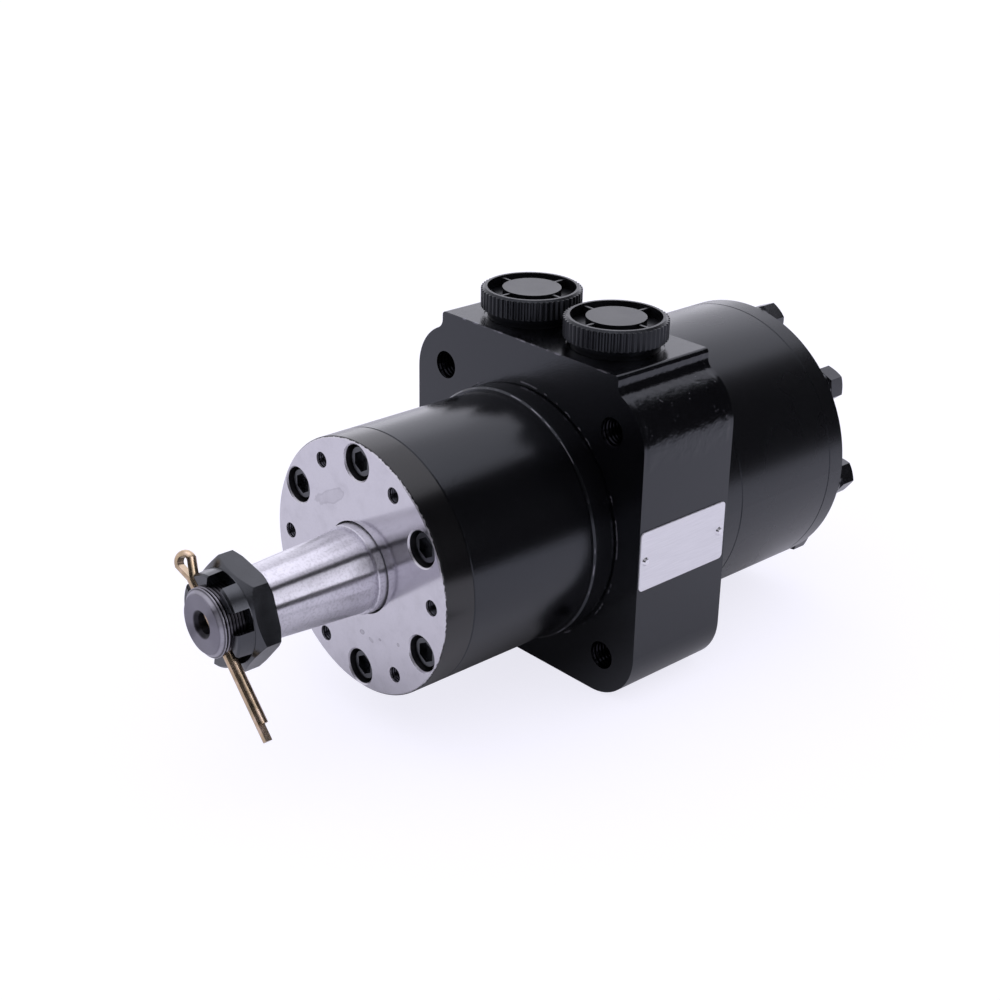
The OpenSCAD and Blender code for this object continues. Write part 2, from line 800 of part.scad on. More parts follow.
module output_shaft() {
    bore_front = spline_front_y - spline_len / 2 - 5;
    color(ground_steel) difference() {
        shaft_body();
        shaft_valve_cuts();
        shaft_centre_hole();
        turned([
            [0, bore_front - spline_cone_len], [spline_relief_r, bore_front], [spline_relief_r, spline_front_y - spline_len / 2],
            [spline_bore_r, spline_front_y - spline_len / 2], [spline_bore_r, spline_front_y + spline_len / 2],
            [spline_relief_r, spline_front_y + spline_len / 2 + 1], [spline_relief_r, boss_rear + over],
            [0, boss_rear + over]
        ]);
        spline_slots(spline_front_y - spline_len / 2 - over, spline_front_y + spline_len / 2 + over);
        key_place() translate([key_r - key_h, 0, 0])
            cylinder(r = key_r + fit_gap, h = key_w + 2 * fit_gap, center = true);
        pin_hole();
    }
}

module taper_key() {
    color(bare_steel) key_place() difference() {
        translate([key_r - key_h, 0, 0]) cylinder(r = key_r, h = key_w, center = true);
        translate([0, -key_r - over, -key_w]) cube([2 * key_r, 2 * (key_r + over), 2 * key_w]);
    }
}

// Castle nut and cotter pin

module castle_nut() {
    corner_r = nut_af / sqrt(3);
    bevel = (corner_r - nut_af / 2) * 0.8;
    crown_front_r = nut_crown_r - 0.4;
    nut_angle = pin_angle + nut_turn;
    hex_front = nut_front + nut_crown_len;
    color(black_oxide) difference() {
        union() {
            turned([
                [0, nut_front], [crown_front_r - edge, nut_front], [crown_front_r, nut_front + edge],
                [nut_crown_r, hex_front], [0, hex_front]
            ]);
            intersection() {
                rotate([0, -nut_angle - 30, 0])
                    slab(hex_front, nut_rear) circle(corner_r, $fn = 6);
                turned([
                    [0, hex_front], [nut_af / 2 - 1, hex_front], [corner_r + 0.2, hex_front + bevel],
                    [corner_r + 0.2, nut_rear - bevel / 2], [nut_af / 2 + 1, nut_rear], [0, nut_rear]
                ]);
            }
        }
        rod(nut_front - over, nut_rear + over, thread_r);
        turned([
            [0, nut_rear - 1], [thread_r, nut_rear - 1], [thread_r + 2, nut_rear + over], [0, nut_rear + over]
        ]);
        for (k = [0:2])
            rotate([0, -nut_angle - 60 * k, 0])
                translate([-nut_af, nut_front - over, -nut_slot_w / 2])
                    cube([2 * nut_af, nut_slot_depth + over, nut_slot_w]);
    }
}

// Half-round wire along X with its flat side at y = 0, on one side of it
module half_wire(side, x0, x1) {
    difference() {
        translate([x0, 0, 0]) rotate([0, 90, 0]) cylinder(r = pin_r, h = x1 - x0, $fn = 48);
        translate([x0 - over, side < 0 ? 0 : -2 * pin_r, -pin_r - over])
            cube([x1 - x0 + 2 * over, 2 * pin_r, 2 * pin_r + 2 * over]);
    }
}

// One leg, and the stretch that bends out from it to the eye
module pin_leg(side, leg_end) {
    gap = 0.1;
    translate([0, side * gap, 0]) half_wire(side, -eye_neck, leg_end);
    bow = atan((eye_r - gap) / (eye_distance - eye_neck));
    translate([-eye_neck, side * gap, 0]) rotate([0, 0, -side * bow])
        half_wire(side, -(eye_distance - eye_neck) / cos(bow) - edge, edge);
}

module pin_eye() {
    reach = eye_r + pin_r + over;
    translate([-eye_distance, 0, 0]) difference() {
        rotate_extrude() intersection() {
            translate([eye_r, 0]) circle(pin_r, $fn = 48);
            translate([eye_r, -pin_r]) square([pin_r, 2 * pin_r]);
        }
        translate([0, -reach, -pin_r - over]) cube([reach, 2 * reach, 2 * (pin_r + over)]);
    }
}

module cotter_pin() {
    color(gold_zinc) rotate([0, -pin_angle, 0]) translate([0, pin_y, 0]) rotate([pin_twist, 0, 0]) {
        pin_leg(-1, pin_long_leg);
        pin_leg(1, pin_short_leg);
        pin_eye();
    }
}

// Plates, ring and end cover

module seal_groove(y0, y1) {
    difference() {
        rod(y0, y1, rear_ring_mid_r + o_ring_r + o_ring_room);
        rod(y0 - over, y1 + over, rear_ring_mid_r - o_ring_r - o_ring_room);
    }
}

module round_plate(y0, y1) {
    turned([
        [0, y0], [rear_r - edge / 2, y0], [rear_r, y0 + edge / 2],
        [rear_r, y1 - edge / 2], [rear_r - edge / 2, y1], [0, y1]
    ]);
}

module bolt_holes(y0, y1) {
    around(ring_rollers, bolt_circle_r, bolt_phase) rod(y0 - over, y1 + over, bolt_hole_r);
}

module spacer_plate() {
    color(paint) difference() {
        round_plate(boss_rear, plate_rear);
        rod(boss_rear - over, plate_rear + over, plate_bore_r);
        bolt_holes(boss_rear, plate_rear);
        around(ring_rollers, passage_circle_r, bolt_phase) rod(boss_rear - over, plate_rear + over, passage_r);
        seal_groove(boss_rear - over, boss_rear + o_ring_groove_depth);
        seal_groove(plate_rear - o_ring_groove_depth, plate_rear + over);
    }
}

module housing_o_ring() {
    color(rubber) o_ring(rear_ring_mid_r, boss_rear + o_ring_groove_depth / 2);
}

module plate_o_ring() {
    color(rubber) o_ring(rear_ring_mid_r, plate_rear - o_ring_groove_depth / 2);
}

module end_o_ring() {
    color(rubber) o_ring(rear_ring_mid_r, ring_rear + o_ring_groove_depth / 2);
}

module ring_housing() {
    color(paint) difference() {
        round_plate(plate_rear, ring_rear);
        rod(plate_rear - over, ring_rear + over, ring_bore_r);
        around(ring_rollers, ring_pitch_r, ring_phase)
            rod(plate_rear - over, ring_rear + over, ring_roller_r + pocket_gap);
        bolt_holes(plate_rear, ring_rear);
    }
}

module end_cover() {
    color(paint) difference() {
        round_plate(ring_rear, end_rear);
        bolt_holes(ring_rear, end_rear);
        seal_groove(ring_rear - over, ring_rear + o_ring_groove_depth);
    }
}

module end_bolt() {
    corner_r = bolt_af / sqrt(3);
    union() {
        rod(boss_rear - bolt_grip, end_rear + over, bolt_r);
        rod(end_rear, end_rear + bolt_washer_t, rear_r - bolt_circle_r);
        intersection() {
            slab(end_rear + bolt_washer_t, end_rear + bolt_head_h) circle(corner_r, $fn = 6);
            turned([
                [0, end_rear], [corner_r + 0.2, end_rear], [corner_r + 0.2, end_rear + bolt_head_h - 0.9],
                [bolt_af / 2 - 0.3, end_rear + bolt_head_h], [0, end_rear + bolt_head_h]
            ]);
        }
    }
}

module end_cover_bolts() {
    color(black_oxide) around(ring_rollers, bolt_circle_r, bolt_phase) end_bolt();
}

// Gear set. The rotor's flank is the path of a roller's centre, moved in by the roller's radius.

function path_point(a) =
    [ring_pitch_r * cos(a) - orbit_r * cos(ring_rollers * a), ring_pitch_r * sin(a) - orbit_r * sin(ring_rollers * a)];

function path_normal(a) =
    let (
        nx = -ring_pitch_r * cos(a) + ring_rollers * orbit_r * cos(ring_rollers * a),
        ny = -ring_pitch_r * sin(a) + ring_rollers * orbit_r * sin(ring_rollers * a)
    )
    [nx, ny] / norm([nx, ny]);

function rotor_outline(inset) =
    let (count = rotor_lobes * rotor_points)
    [for (k = [0:count - 1]) let (a = 360 * k / count) path_point(a) + inset * path_normal(a)];

module rotor() {
    color(ground_steel) translate([orbit_r * cos(ring_phase), 0, orbit_r * sin(ring_phase)]) difference() {
        rotate([0, -ring_phase, 0])
            slab(rotor_front, rotor_rear) polygon(rotor_outline(ring_roller_r + rotor_gap));
        turned([
            [0, rotor_front - over], [spline_relief_r, rotor_front - over],
            [spline_relief_r, spline_rear_y - spline_len / 2], [spline_bore_r, spline_rear_y - spline_len / 2],
            [spline_bore_r, spline_rear_y + spline_len / 2], [spline_relief_r, spline_rear_y + spline_len / 2],
            [spline_relief_r, rotor_rear + over], [0, rotor_rear + over]
        ]);
        spline_slots(spline_rear_y - spline_len / 2 - over, spline_rear_y + spline_len / 2 + over);
    }
}

module drive_spacer() {
    color(bare_steel) translate([orbit_r * cos(ring_phase), 0, orbit_r * sin(ring_phase)])
        difference() {
            rod(drive_spacer_front, rotor_rear, spline_relief_r - pocket_gap);
            rod(drive_spacer_front - over, drive_spacer_front + 1.5, link_waist_r - 3);
        }
}

module ring_roller(k) {
    color(ground_steel) polar(ring_pitch_r, ring_phase + 360 * k / ring_rollers)
        turned([
            [0, rotor_front], [ring_roller_r - edge / 2, rotor_front], [ring_roller_r, rotor_front + edge / 2],
            [ring_roller_r, rotor_rear - edge / 2], [ring_roller_r - edge / 2, rotor_rear], [0, rotor_rear]
        ]);
}

// One set of link teeth about y = 0: flanks and tips are crowned so that the link can tilt
module crowned_teeth() {
    side = spline_crown_r - spline_tooth_w / 2;
    inner_r = spline_root_r - over;
    steps = 4;
    crown = [for (k = [-steps:steps])
        let (y = spline_len / 2 * k / steps)
        [spline_tip_r - spline_crown_r + sqrt(pow(spline_crown_r, 2) - pow(y, 2)), y]];
    intersection() {
        for (k = [0:spline_teeth - 1])
            rotate([0, -360 * k / spline_teeth, 0]) translate([inner_r, 0, 0])
                rotate([0, 90, 0]) linear_extrude(spline_tip_r + over - inner_r) intersection() {
                    translate([side, 0]) circle(spline_crown_r, $fn = 180);
                    translate([-side, 0]) circle(spline_crown_r, $fn = 180);
                    square([spline_tooth_w + over, spline_len], center = true);
                }
        turned(concat([[0, -spline_len / 2]], crown, [[0, spline_len / 2]]));
    }
}

module drive_link() {
    color(bare_steel)
        translate([0, spline_front_y, 0]) rotate([0, -ring_phase, 0]) rotate([0, 0, -link_tilt])
            rotate([0, ring_phase, 0]) {
                turned([
                    [0, -link_end], [spline_root_r - 1.5, -link_end], [spline_root_r, 1.5 - link_end],
                    [spline_root_r, link_end - 1], [link_waist_r, link_end + 4],
                    [link_waist_r, link_span - link_end - 4], [spline_root_r, link_span - link_end + 1],
                    [spline_root_r, link_span + link_end - 1.5], [spline_root_r - 1.5, link_span + link_end],
                    [0, link_span + link_end]
                ]);
                crowned_teeth();
                translate([0, link_span, 0]) crowned_teeth();
            }
}

// Transport plugs in the two ports

function ridge_outline(count, outer, depth) =
    [for (k = [0:4 * count - 1])
        let (r = k % 4 < 2 ? outer : outer - depth, a = 90 * (k + (k % 4 < 2 ? 0.15 : -0.15)) / count)
        [r * cos(a), r * sin(a)]];

module port_plug(side) {
    z0 = pad_top - spotface_depth;
    z1 = pad_top + plug_neck_h;
    z2 = z1 + plug_head_h;
    color(black_plastic) translate([side * port_x, block_d / 2, 0]) difference() {
        union() {
            translate([0, 0, z0 - plug_stem_len]) cylinder(r = port_r - plug_gap, h = plug_stem_len + over);
            translate([0, 0, z0 + fit_gap]) cylinder(r1 = plug_neck_r - 1.4, r2 = plug_neck_r, h = z1 - z0);
            translate([0, 0, z1]) linear_extrude(plug_head_h - edge)
                polygon(ridge_outline(plug_ridges, plug_head_r, ridge_depth));
            translate([0, 0, z2 - edge])
                cylinder(r1 = plug_head_r - ridge_depth, r2 = plug_head_r - ridge_depth - edge, h = edge);
        }
        difference() {
            translate([0, 0, z2 - plug_top_recess]) cylinder(r = plug_head_r - plug_rim, h = plug_top_recess + over);
            translate([0, 0, z2 - plug_top_recess - over])
                cylinder(r = plug_disc_r, h = plug_top_recess + over - 0.4);
            for (k = [0:plug_webs - 1])
                rotate([0, 0, 360 * k / plug_webs])
                    translate([0, -0.6, z2 - plug_top_recess - over])
                        cube([plug_head_r - plug_rim + 0.5, 1.2, plug_top_recess + over - 0.8]);
        }
        translate([0, 0, z0 - plug_stem_len - over]) cylinder(r = port_r - 3.5, h = plug_stem_len + over);
    }
}

module port_plug_a() {
    port_plug(-1);
}

module port_plug_b() {
    port_plug(1);
}

// Nameplate

module nameplate() {
    color(sheet_aluminium) difference() {
        translate([block_w / 2, nameplate_y, nameplate_z]) rotate([0, 90, 0]) linear_extrude(plate_sheet_t) {
            square([plate_h - 2 * plate_corner_r, plate_w], center = true);
            square([plate_h, plate_w - 2 * plate_corner_r], center = true);
            for (u = [-1, 1], v = [-1, 1])
                translate([u * (plate_h / 2 - plate_corner_r), v * (plate_w / 2 - plate_corner_r)])
                    circle(plate_corner_r, $fn = 48);
        }
        rivet_places() translate([0, 0, -over]) cylinder(r = rivet_r + 0.1, h = plate_sheet_t + 2 * over);
    }
}

module nameplate_rivets() {
    color(sheet_aluminium) rivet_places() {
        translate([0, 0, -rivet_len]) cylinder(r = rivet_r, h = rivet_len + plate_sheet_t);
        translate([0, 0, plate_sheet_t]) cylinder(r1 = rivet_head_r, r2 = rivet_head_r * 0.6, h = rivet_head_h);
    }
}

module ring_roller_1() { ring_roller(0); }
module ring_roller_2() { ring_roller(1); }
module ring_roller_3() { ring_roller(2); }
module ring_roller_4() { ring_roller(3); }
module ring_roller_5() { ring_roller(4); }
module ring_roller_6() { ring_roller(5); }
module ring_roller_7() { ring_roller(6); }
module ring_roller_8() { ring_roller(7); }

main_housing();
front_cover();
front_cover_screws();
shaft_seal();
dust_wiper();
cover_o_ring();
front_bearing_cup();
rear_bearing_cup();
spacer_plate();
housing_o_ring();
plate_o_ring();
end_o_ring();
ring_housing();
end_cover();
end_cover_bolts();
nameplate();
nameplate_rivets();
output_shaft();
castle_nut();
cotter_pin();
taper_key();
front_bearing_cone();
rear_bearing_cone();
cone_spacer();
retaining_ring();
front_bearing_rollers();
front_bearing_cage();
rear_bearing_rollers();
rear_bearing_cage();
drive_spacer();
rotor();
drive_link();
ring_roller_1();
ring_roller_2();
ring_roller_3();
ring_roller_4();
ring_roller_5();
ring_roller_6();
ring_roller_7();
ring_roller_8();
port_plug_a();
port_plug_b();
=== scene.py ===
import bpy
import math
from mathutils import Matrix, Vector


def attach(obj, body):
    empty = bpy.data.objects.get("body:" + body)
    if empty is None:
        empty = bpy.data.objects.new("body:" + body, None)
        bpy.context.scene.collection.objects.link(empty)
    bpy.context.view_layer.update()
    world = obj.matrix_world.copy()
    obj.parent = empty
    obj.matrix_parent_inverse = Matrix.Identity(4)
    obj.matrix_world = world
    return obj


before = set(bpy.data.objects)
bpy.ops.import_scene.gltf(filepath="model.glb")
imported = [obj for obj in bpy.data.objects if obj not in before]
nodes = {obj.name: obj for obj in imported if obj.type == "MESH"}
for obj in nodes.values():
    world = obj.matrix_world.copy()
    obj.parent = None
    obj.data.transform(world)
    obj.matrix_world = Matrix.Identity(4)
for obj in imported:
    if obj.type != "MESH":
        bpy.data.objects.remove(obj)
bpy.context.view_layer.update()        # the imported nodes, now in world space
print("frame loaded:", len(nodes), "nodes")

# camera: where the photograph was taken from
cameraSet = {
    "place": (0.50382, -0.47612, 0.31880),
    "azimuth": math.radians(47.434),
    "elevation": math.radians(24.471),
    "roll": math.radians(1.082),
    "lens": 62.15,
    "sensor": 36.0,
}


def makeCamera():
    data = bpy.data.cameras.new("camera")
    data.lens = cameraSet["lens"]
    data.sensor_fit = "HORIZONTAL"
    data.sensor_width = cameraSet["sensor"]
    cameraObject = bpy.data.objects.new("camera", data)
    bpy.context.scene.collection.objects.link(cameraObject)
    a, e, roll = cameraSet["azimuth"], cameraSet["elevation"], cameraSet["roll"]
    back = Vector((math.sin(a) * math.cos(e), -math.cos(a) * math.cos(e), math.sin(e)))
    right = Vector((0, 0, 1)).cross(back).normalized()
    up = back.cross(right)
    c, s = math.cos(roll), math.sin(roll)
    right, up = right * c + up * s, up * c - right * s
    turn = Matrix((right, up, back)).transposed().to_4x4()
    cameraObject.matrix_world = Matrix.Translation(cameraSet["place"]) @ turn
    bpy.context.scene.camera = cameraObject


makeCamera()
bpy.context.scene.view_settings.view_transform = "Standard"
print("camera made")


# shader tools

def hexColour(text):    # sRGB hex to the linear values that Blender takes
    parts = [int(text[k:k + 2], 16) / 255 for k in (1, 3, 5)]
    return tuple(p / 12.92 if p <= 0.04045 else ((p + 0.055) / 1.055) ** 2.4 for p in parts) + (1.0,)


def perMm(size):    # texture scale that makes features this many millimetres wide
    return 1000.0 / size


def addNode(tree, kind, settings=None, inputs=None):    # a node as an input means its first live output
    made = tree.nodes.new(kind)
    for name, value in (settings or {}).items():
        setattr(made, name, value)
    for name, value in (inputs or {}).items():
        if isinstance(value, bpy.types.Node):
            value = next(socket for socket in value.outputs if socket.enabled)
        if isinstance(value, bpy.types.NodeSocket):
            tree.links.new(value, made.inputs[name])
        else:
            made.inputs[name].default_value = value
    return made


def emptyTree(owner):
    owner.use_nodes = True
    owner.node_tree.nodes.clear()
    return owner.node_tree


def startMaterial(name):    # place is where on its piece a pattern lies, in metres
    material = bpy.data.materials.new(name)
    tree = emptyTree(material)
    place = addNode(tree, "ShaderNodeTexCoord").outputs["Object"]
    return material, tree, place


def finishMaterial(material, inputs):
    shader = addNode(material.node_tree, "ShaderNodeBsdfPrincipled", None, inputs)
    addNode(material.node_tree, "ShaderNodeOutputMaterial", None, {"Surface": shader})
    return material


def softArea(tree, *limits):    # 1 where all values are past their limits, which fade in from none to full
    area = None
    for value, (none, full) in limits:
        inside = addNode(tree, "ShaderNodeMapRange", {"interpolation_type": "SMOOTHSTEP"},
                         {"Value": value, "From Min": none, "From Max": full})
        area = inside if area is None else addNode(
            tree, "ShaderNodeMath", {"operation": "MULTIPLY"}, {0: area, 1: inside})
    return area


def axisRadius(tree, place):    # distance from the shaft axis
    flat = addNode(tree, "ShaderNodeVectorMath", {"operation": "MULTIPLY"}, {0: place, 1: (1, 0, 1)})
    return addNode(tree, "ShaderNodeVectorMath", {"operation": "LENGTH"}, {0: flat})


def awayFrom(tree, place, edge):    # distance from a turned edge, or from a straight one along X
    split = addNode(tree, "ShaderNodeSeparateXYZ", None, {0: place})
    reach = axisRadius(tree, place) if edge["turned"] else split.outputs["Z"]
    across = addNode(tree, "ShaderNodeMath", {"operation": "SUBTRACT"}, {0: reach, 1: edge["across"]})
    along = addNode(tree, "ShaderNodeMath", {"operation": "SUBTRACT"},
                    {0: split.outputs["Y"], 1: edge["y"]})
    both = addNode(tree, "ShaderNodeCombineXYZ", None, {0: across, 1: along})
    return addNode(tree, "ShaderNodeVectorMath", {"operation": "LENGTH"}, {0: both})


# Black enamel sprayed on cast iron: deep black and glossy, with a slight orange peel. Where it lies on
# the casting the grain of the sand shows through, and turned edges are rubbed to bare iron.
enamelSet = {    # patterns in mm, depths in m
    "black": "#060608",
    "worn": "#8d8b92",
    "dust": "#3a3a40",
    "dustSpacing": 5.0,
    "dustEdge": (0.055, 0.03),
    "dustShare": 0.5,
    "sheen": "#eff5ff",
    "specular": 0.62,
    "glossPatch": 34.0,
    "glossSpread": 0.045,
    "peel": 2.6,
    "peelDepth": 0.00003,
    "peelStrength": 0.35,
    "grain": 0.9,
    "grainStrength": 0.5,
    "scratch": 7.0,
    "scratchFade": 0.14,
    "wornCore": 0.4,
}
# The upper corners of the block are left as they came from the sand: swollen, with specks of bare iron.
shoulderSet = {    # places and depths in m, patterns in mm
    "side": (0.0525, 0.056),
    "above": (0.046, 0.056),
    "behindFront": (0.0012, 0.004),
    "beforeRear": (0.053, 0.05),
    "raggedSize": 12.0,
    "ragged": 0.016,
    "swell": 4.5,
    "swellDepth": 0.0005,
    "swellStrength": 0.7,
    "speck": 1.6,
    "speckEdge": (0.66, 0.71),
    "speckPatch": 6.0,
    "patchEdge": (0.54, 0.62),
    "specksAbove": (0.05, 0.053),
}


def blackEnamel(name, castDepth, gloss, wornEdges=(), rawShoulders=False):
    material, tree, place = startMaterial(name)
    dust = addNode(tree, "ShaderNodeTexVoronoi", None,
                   {"Vector": place, "Scale": perMm(enamelSet["dustSpacing"])})
    dust = addNode(tree, "ShaderNodeMath", {"operation": "MULTIPLY"},
                   {0: softArea(tree, (dust, enamelSet["dustEdge"])), 1: enamelSet["dustShare"]})
    colour = addNode(tree, "ShaderNodeMix", {"data_type": "RGBA"},
                     {0: dust, 6: hexColour(enamelSet["black"]), 7: hexColour(enamelSet["dust"])})
    patch = addNode(tree, "ShaderNodeTexNoise", None,
                    {"Vector": place, "Scale": perMm(enamelSet["glossPatch"]), "Detail": 3.0})
    spread = enamelSet["glossSpread"]
    rough = addNode(tree, "ShaderNodeMapRange", None,
                    {"Value": patch, "To Min": gloss - spread, "To Max": gloss + spread})
    peel = addNode(tree, "ShaderNodeTexNoise", None,
                   {"Vector": place, "Scale": perMm(enamelSet["peel"]), "Detail": 2.0})
    normal = addNode(tree, "ShaderNodeBump", None, {
        "Height": peel, "Distance": enamelSet["peelDepth"], "Strength": enamelSet["peelStrength"]})
    grain = addNode(tree, "ShaderNodeTexNoise", None,
                    {"Vector": place, "Scale": perMm(enamelSet["grain"]), "Detail": 4.0, "Roughness": 0.6})
    normal = addNode(tree, "ShaderNodeBump", None, {
        "Height": grain, "Distance": castDepth, "Strength": enamelSet["grainStrength"], "Normal": normal})
    wornAreas = []
    for edge in wornEdges:
        scratch = addNode(tree, "ShaderNodeTexNoise", None,
                          {"Vector": place, "Scale": perMm(enamelSet["scratch"]), "Detail": 5.0})
        wornAreas.append(softArea(
            tree, (awayFrom(tree, place, edge), (edge["width"], edge["width"] * enamelSet["wornCore"])),
            (scratch, (edge["share"], edge["share"] + enamelSet["scratchFade"]))))
    if rawShoulders:
        split = addNode(tree, "ShaderNodeSeparateXYZ", None, {0: place})
        alongY, height = split.outputs["Y"], split.outputs["Z"]
        side = addNode(tree, "ShaderNodeMath", {"operation": "ABSOLUTE"}, {0: split.outputs["X"]})
        wander = addNode(tree, "ShaderNodeTexNoise", None,
                         {"Vector": place, "Scale": perMm(shoulderSet["raggedSize"]), "Detail": 3.0})
        ragged = addNode(tree, "ShaderNodeMath", {"operation": "MULTIPLY_ADD"},
                         {0: wander, 1: shoulderSet["ragged"], 2: height})
        raw = softArea(tree, (side, shoulderSet["side"]), (ragged, shoulderSet["above"]),
                       (alongY, shoulderSet["behindFront"]), (alongY, shoulderSet["beforeRear"]))
        swell = addNode(tree, "ShaderNodeTexNoise", None, {
            "Vector": place, "Scale": perMm(shoulderSet["swell"]), "Detail": 4.0, "Roughness": 0.6})
        swell = addNode(tree, "ShaderNodeMath", {"operation": "MULTIPLY"}, {0: swell, 1: raw})
        normal = addNode(tree, "ShaderNodeBump", None, {
            "Height": swell, "Distance": shoulderSet["swellDepth"],
            "Strength": shoulderSet["swellStrength"], "Normal": normal})
        speck = addNode(tree, "ShaderNodeTexNoise", None,
                        {"Vector": place, "Scale": perMm(shoulderSet["speck"]), "Detail": 2.0})
        speckPatch = addNode(tree, "ShaderNodeTexNoise", None,
                             {"Vector": place, "Scale": perMm(shoulderSet["speckPatch"]), "Detail": 3.0})
        specks = softArea(tree, (speck, shoulderSet["speckEdge"]), (speckPatch, shoulderSet["patchEdge"]),
                          (height, shoulderSet["specksAbove"]))
        wornAreas.append(addNode(tree, "ShaderNodeMath", {"operation": "MULTIPLY"}, {0: specks, 1: raw}))
    inputs = {"IOR": 1.5, "Specular IOR Level": enamelSet["specular"],
              "Specular Tint": hexColour(enamelSet["sheen"]), "Roughness": rough, "Normal": normal}
    if wornAreas:
        worn = wornAreas[0]
        for area in wornAreas[1:]:
            worn = addNode(tree, "ShaderNodeMath", {"operation": "MAXIMUM"}, {0: worn, 1: area})
        colour = addNode(tree, "ShaderNodeMix", {"data_type": "RGBA"},
                         {0: worn, 6: colour, 7: hexColour(enamelSet["worn"])})
        inputs["Metallic"] = worn
    inputs["Base Color"] = colour
    return finishMaterial(material, inputs)


# Steel turned on a lathe: fine rings from the tool that stretch every reflection across them.
# The rings are really about 0.15 mm apart, drawn coarser so that they show.
turnedSet = {    # patterns in mm, depths in m
    "stain": "#8f8c93",
    "ringSpacing": 0.45,
    "ringDepth": 0.00001,
    "ringStrength": 0.12,
    "smear": 9.0,
    "smearEdge": (0.45, 0.8),
    "smearShare": 0.2,
    "grain": 1.1,
    "grainEdge": (0.42, 0.7),
    "roughSpread": 0.01,
    "oilWander": 6.0,
    "oilRagged": 1.8,    # this and the next two in sizes of the mark
    "oilMiddle": (1.75, 1.55),
    "oilWhole": (1.95, 1.8),
}


def turnedSteel(name, look):
    material, tree, place = startMaterial(name)
    radius = axisRadius(tree, place)
    alongY = addNode(tree, "ShaderNodeSeparateXYZ", None, {0: place}).outputs["Y"]
    stain = hexColour(turnedSet["stain"])
    smear = addNode(tree, "ShaderNodeTexNoise", None,
                    {"Vector": place, "Scale": perMm(turnedSet["smear"]), "Detail": 6.0, "Roughness": 0.6})
    smeared = addNode(tree, "ShaderNodeMath", {"operation": "MULTIPLY"},
                      {0: softArea(tree, (smear, turnedSet["smearEdge"])), 1: turnedSet["smearShare"]})
    colour = addNode(tree, "ShaderNodeMix", {"data_type": "RGBA"},
                     {0: smeared, 6: hexColour(look["steel"]), 7: stain})
    grain = addNode(tree, "ShaderNodeTexNoise", None,
                    {"Vector": place, "Scale": perMm(turnedSet["grain"]), "Detail": 3.0})
    grainy = addNode(tree, "ShaderNodeMath", {"operation": "MULTIPLY"},
                     {0: softArea(tree, (grain, turnedSet["grainEdge"])), 1: look["grain"]})
    colour = addNode(tree, "ShaderNodeMix", {"data_type": "RGBA"}, {0: grainy, 6: colour, 7: stain})
    spread = turnedSet["roughSpread"]
    rough = addNode(tree, "ShaderNodeMapRange", None, {
        "Value": smear, "To Min": look["roughness"] - spread, "To Max": look["roughness"] + spread})
    for mark in look.get("oilMarks", ()):
        colour = addNode(tree, "ShaderNodeMix", {"data_type": "RGBA"},
                         {0: driedOil(tree, place, mark), 6: colour, 7: stain})
    if "end" in look:
        colour, rough = oilAndShadeOnEnd(tree, place, look["end"], colour, rough)
    rings = addNode(tree, "ShaderNodeTexNoise", {"noise_dimensions": "1D"}, {
        "W": radius if look["faced"] else alongY, "Scale": perMm(turnedSet["ringSpacing"]), "Detail": 2.0})
    normal = addNode(tree, "ShaderNodeBump", None, {
        "Height": rings, "Distance": turnedSet["ringDepth"], "Strength": turnedSet["ringStrength"]})
    around = addNode(tree, "ShaderNodeTangent", {"direction_type": "RADIAL", "axis": "Y"})
    inputs = {"Metallic": 1.0, "Anisotropic": look["stretch"], "Anisotropic Rotation": 0.25,
              "Base Color": colour, "Roughness": rough, "Normal": normal, "Tangent": around}
    if "rim" in look:
        inputs.update(paintedRim(tree, place, look, colour, rough))
    return finishMaterial(material, inputs)


def driedOil(tree, place, mark):    # darkest along the edge of the mark
    laid = addNode(tree, "ShaderNodeMapping", {"vector_type": "TEXTURE"}, {
        "Vector": place, "Location": mark["place"], "Rotation": (0, math.radians(-mark["tilt"]), 0),
        "Scale": (mark["longer"], 1, 1)})
    gap = addNode(tree, "ShaderNodeVectorMath", {"operation": "LENGTH"}, {0: laid})
    wander = addNode(tree, "ShaderNodeTexNoise", None,
                     {"Vector": place, "Scale": perMm(turnedSet["oilWander"]), "Detail": 5.0})
    size = mark["size"]
    reach = addNode(tree, "ShaderNodeMath", {"operation": "MULTIPLY_ADD"},
                    {0: wander, 1: size * turnedSet["oilRagged"], 2: gap})
    middle = softArea(tree, (reach, [size * share for share in turnedSet["oilMiddle"]]))
    whole = softArea(tree, (reach, [size * share for share in turnedSet["oilWhole"]]))
    border = addNode(tree, "ShaderNodeMath", {"operation": "MULTIPLY_ADD"}, {0: middle, 1: -0.5, 2: whole})
    return addNode(tree, "ShaderNodeMath", {"operation": "MULTIPLY"}, {0: border, 1: mark["strength"]})


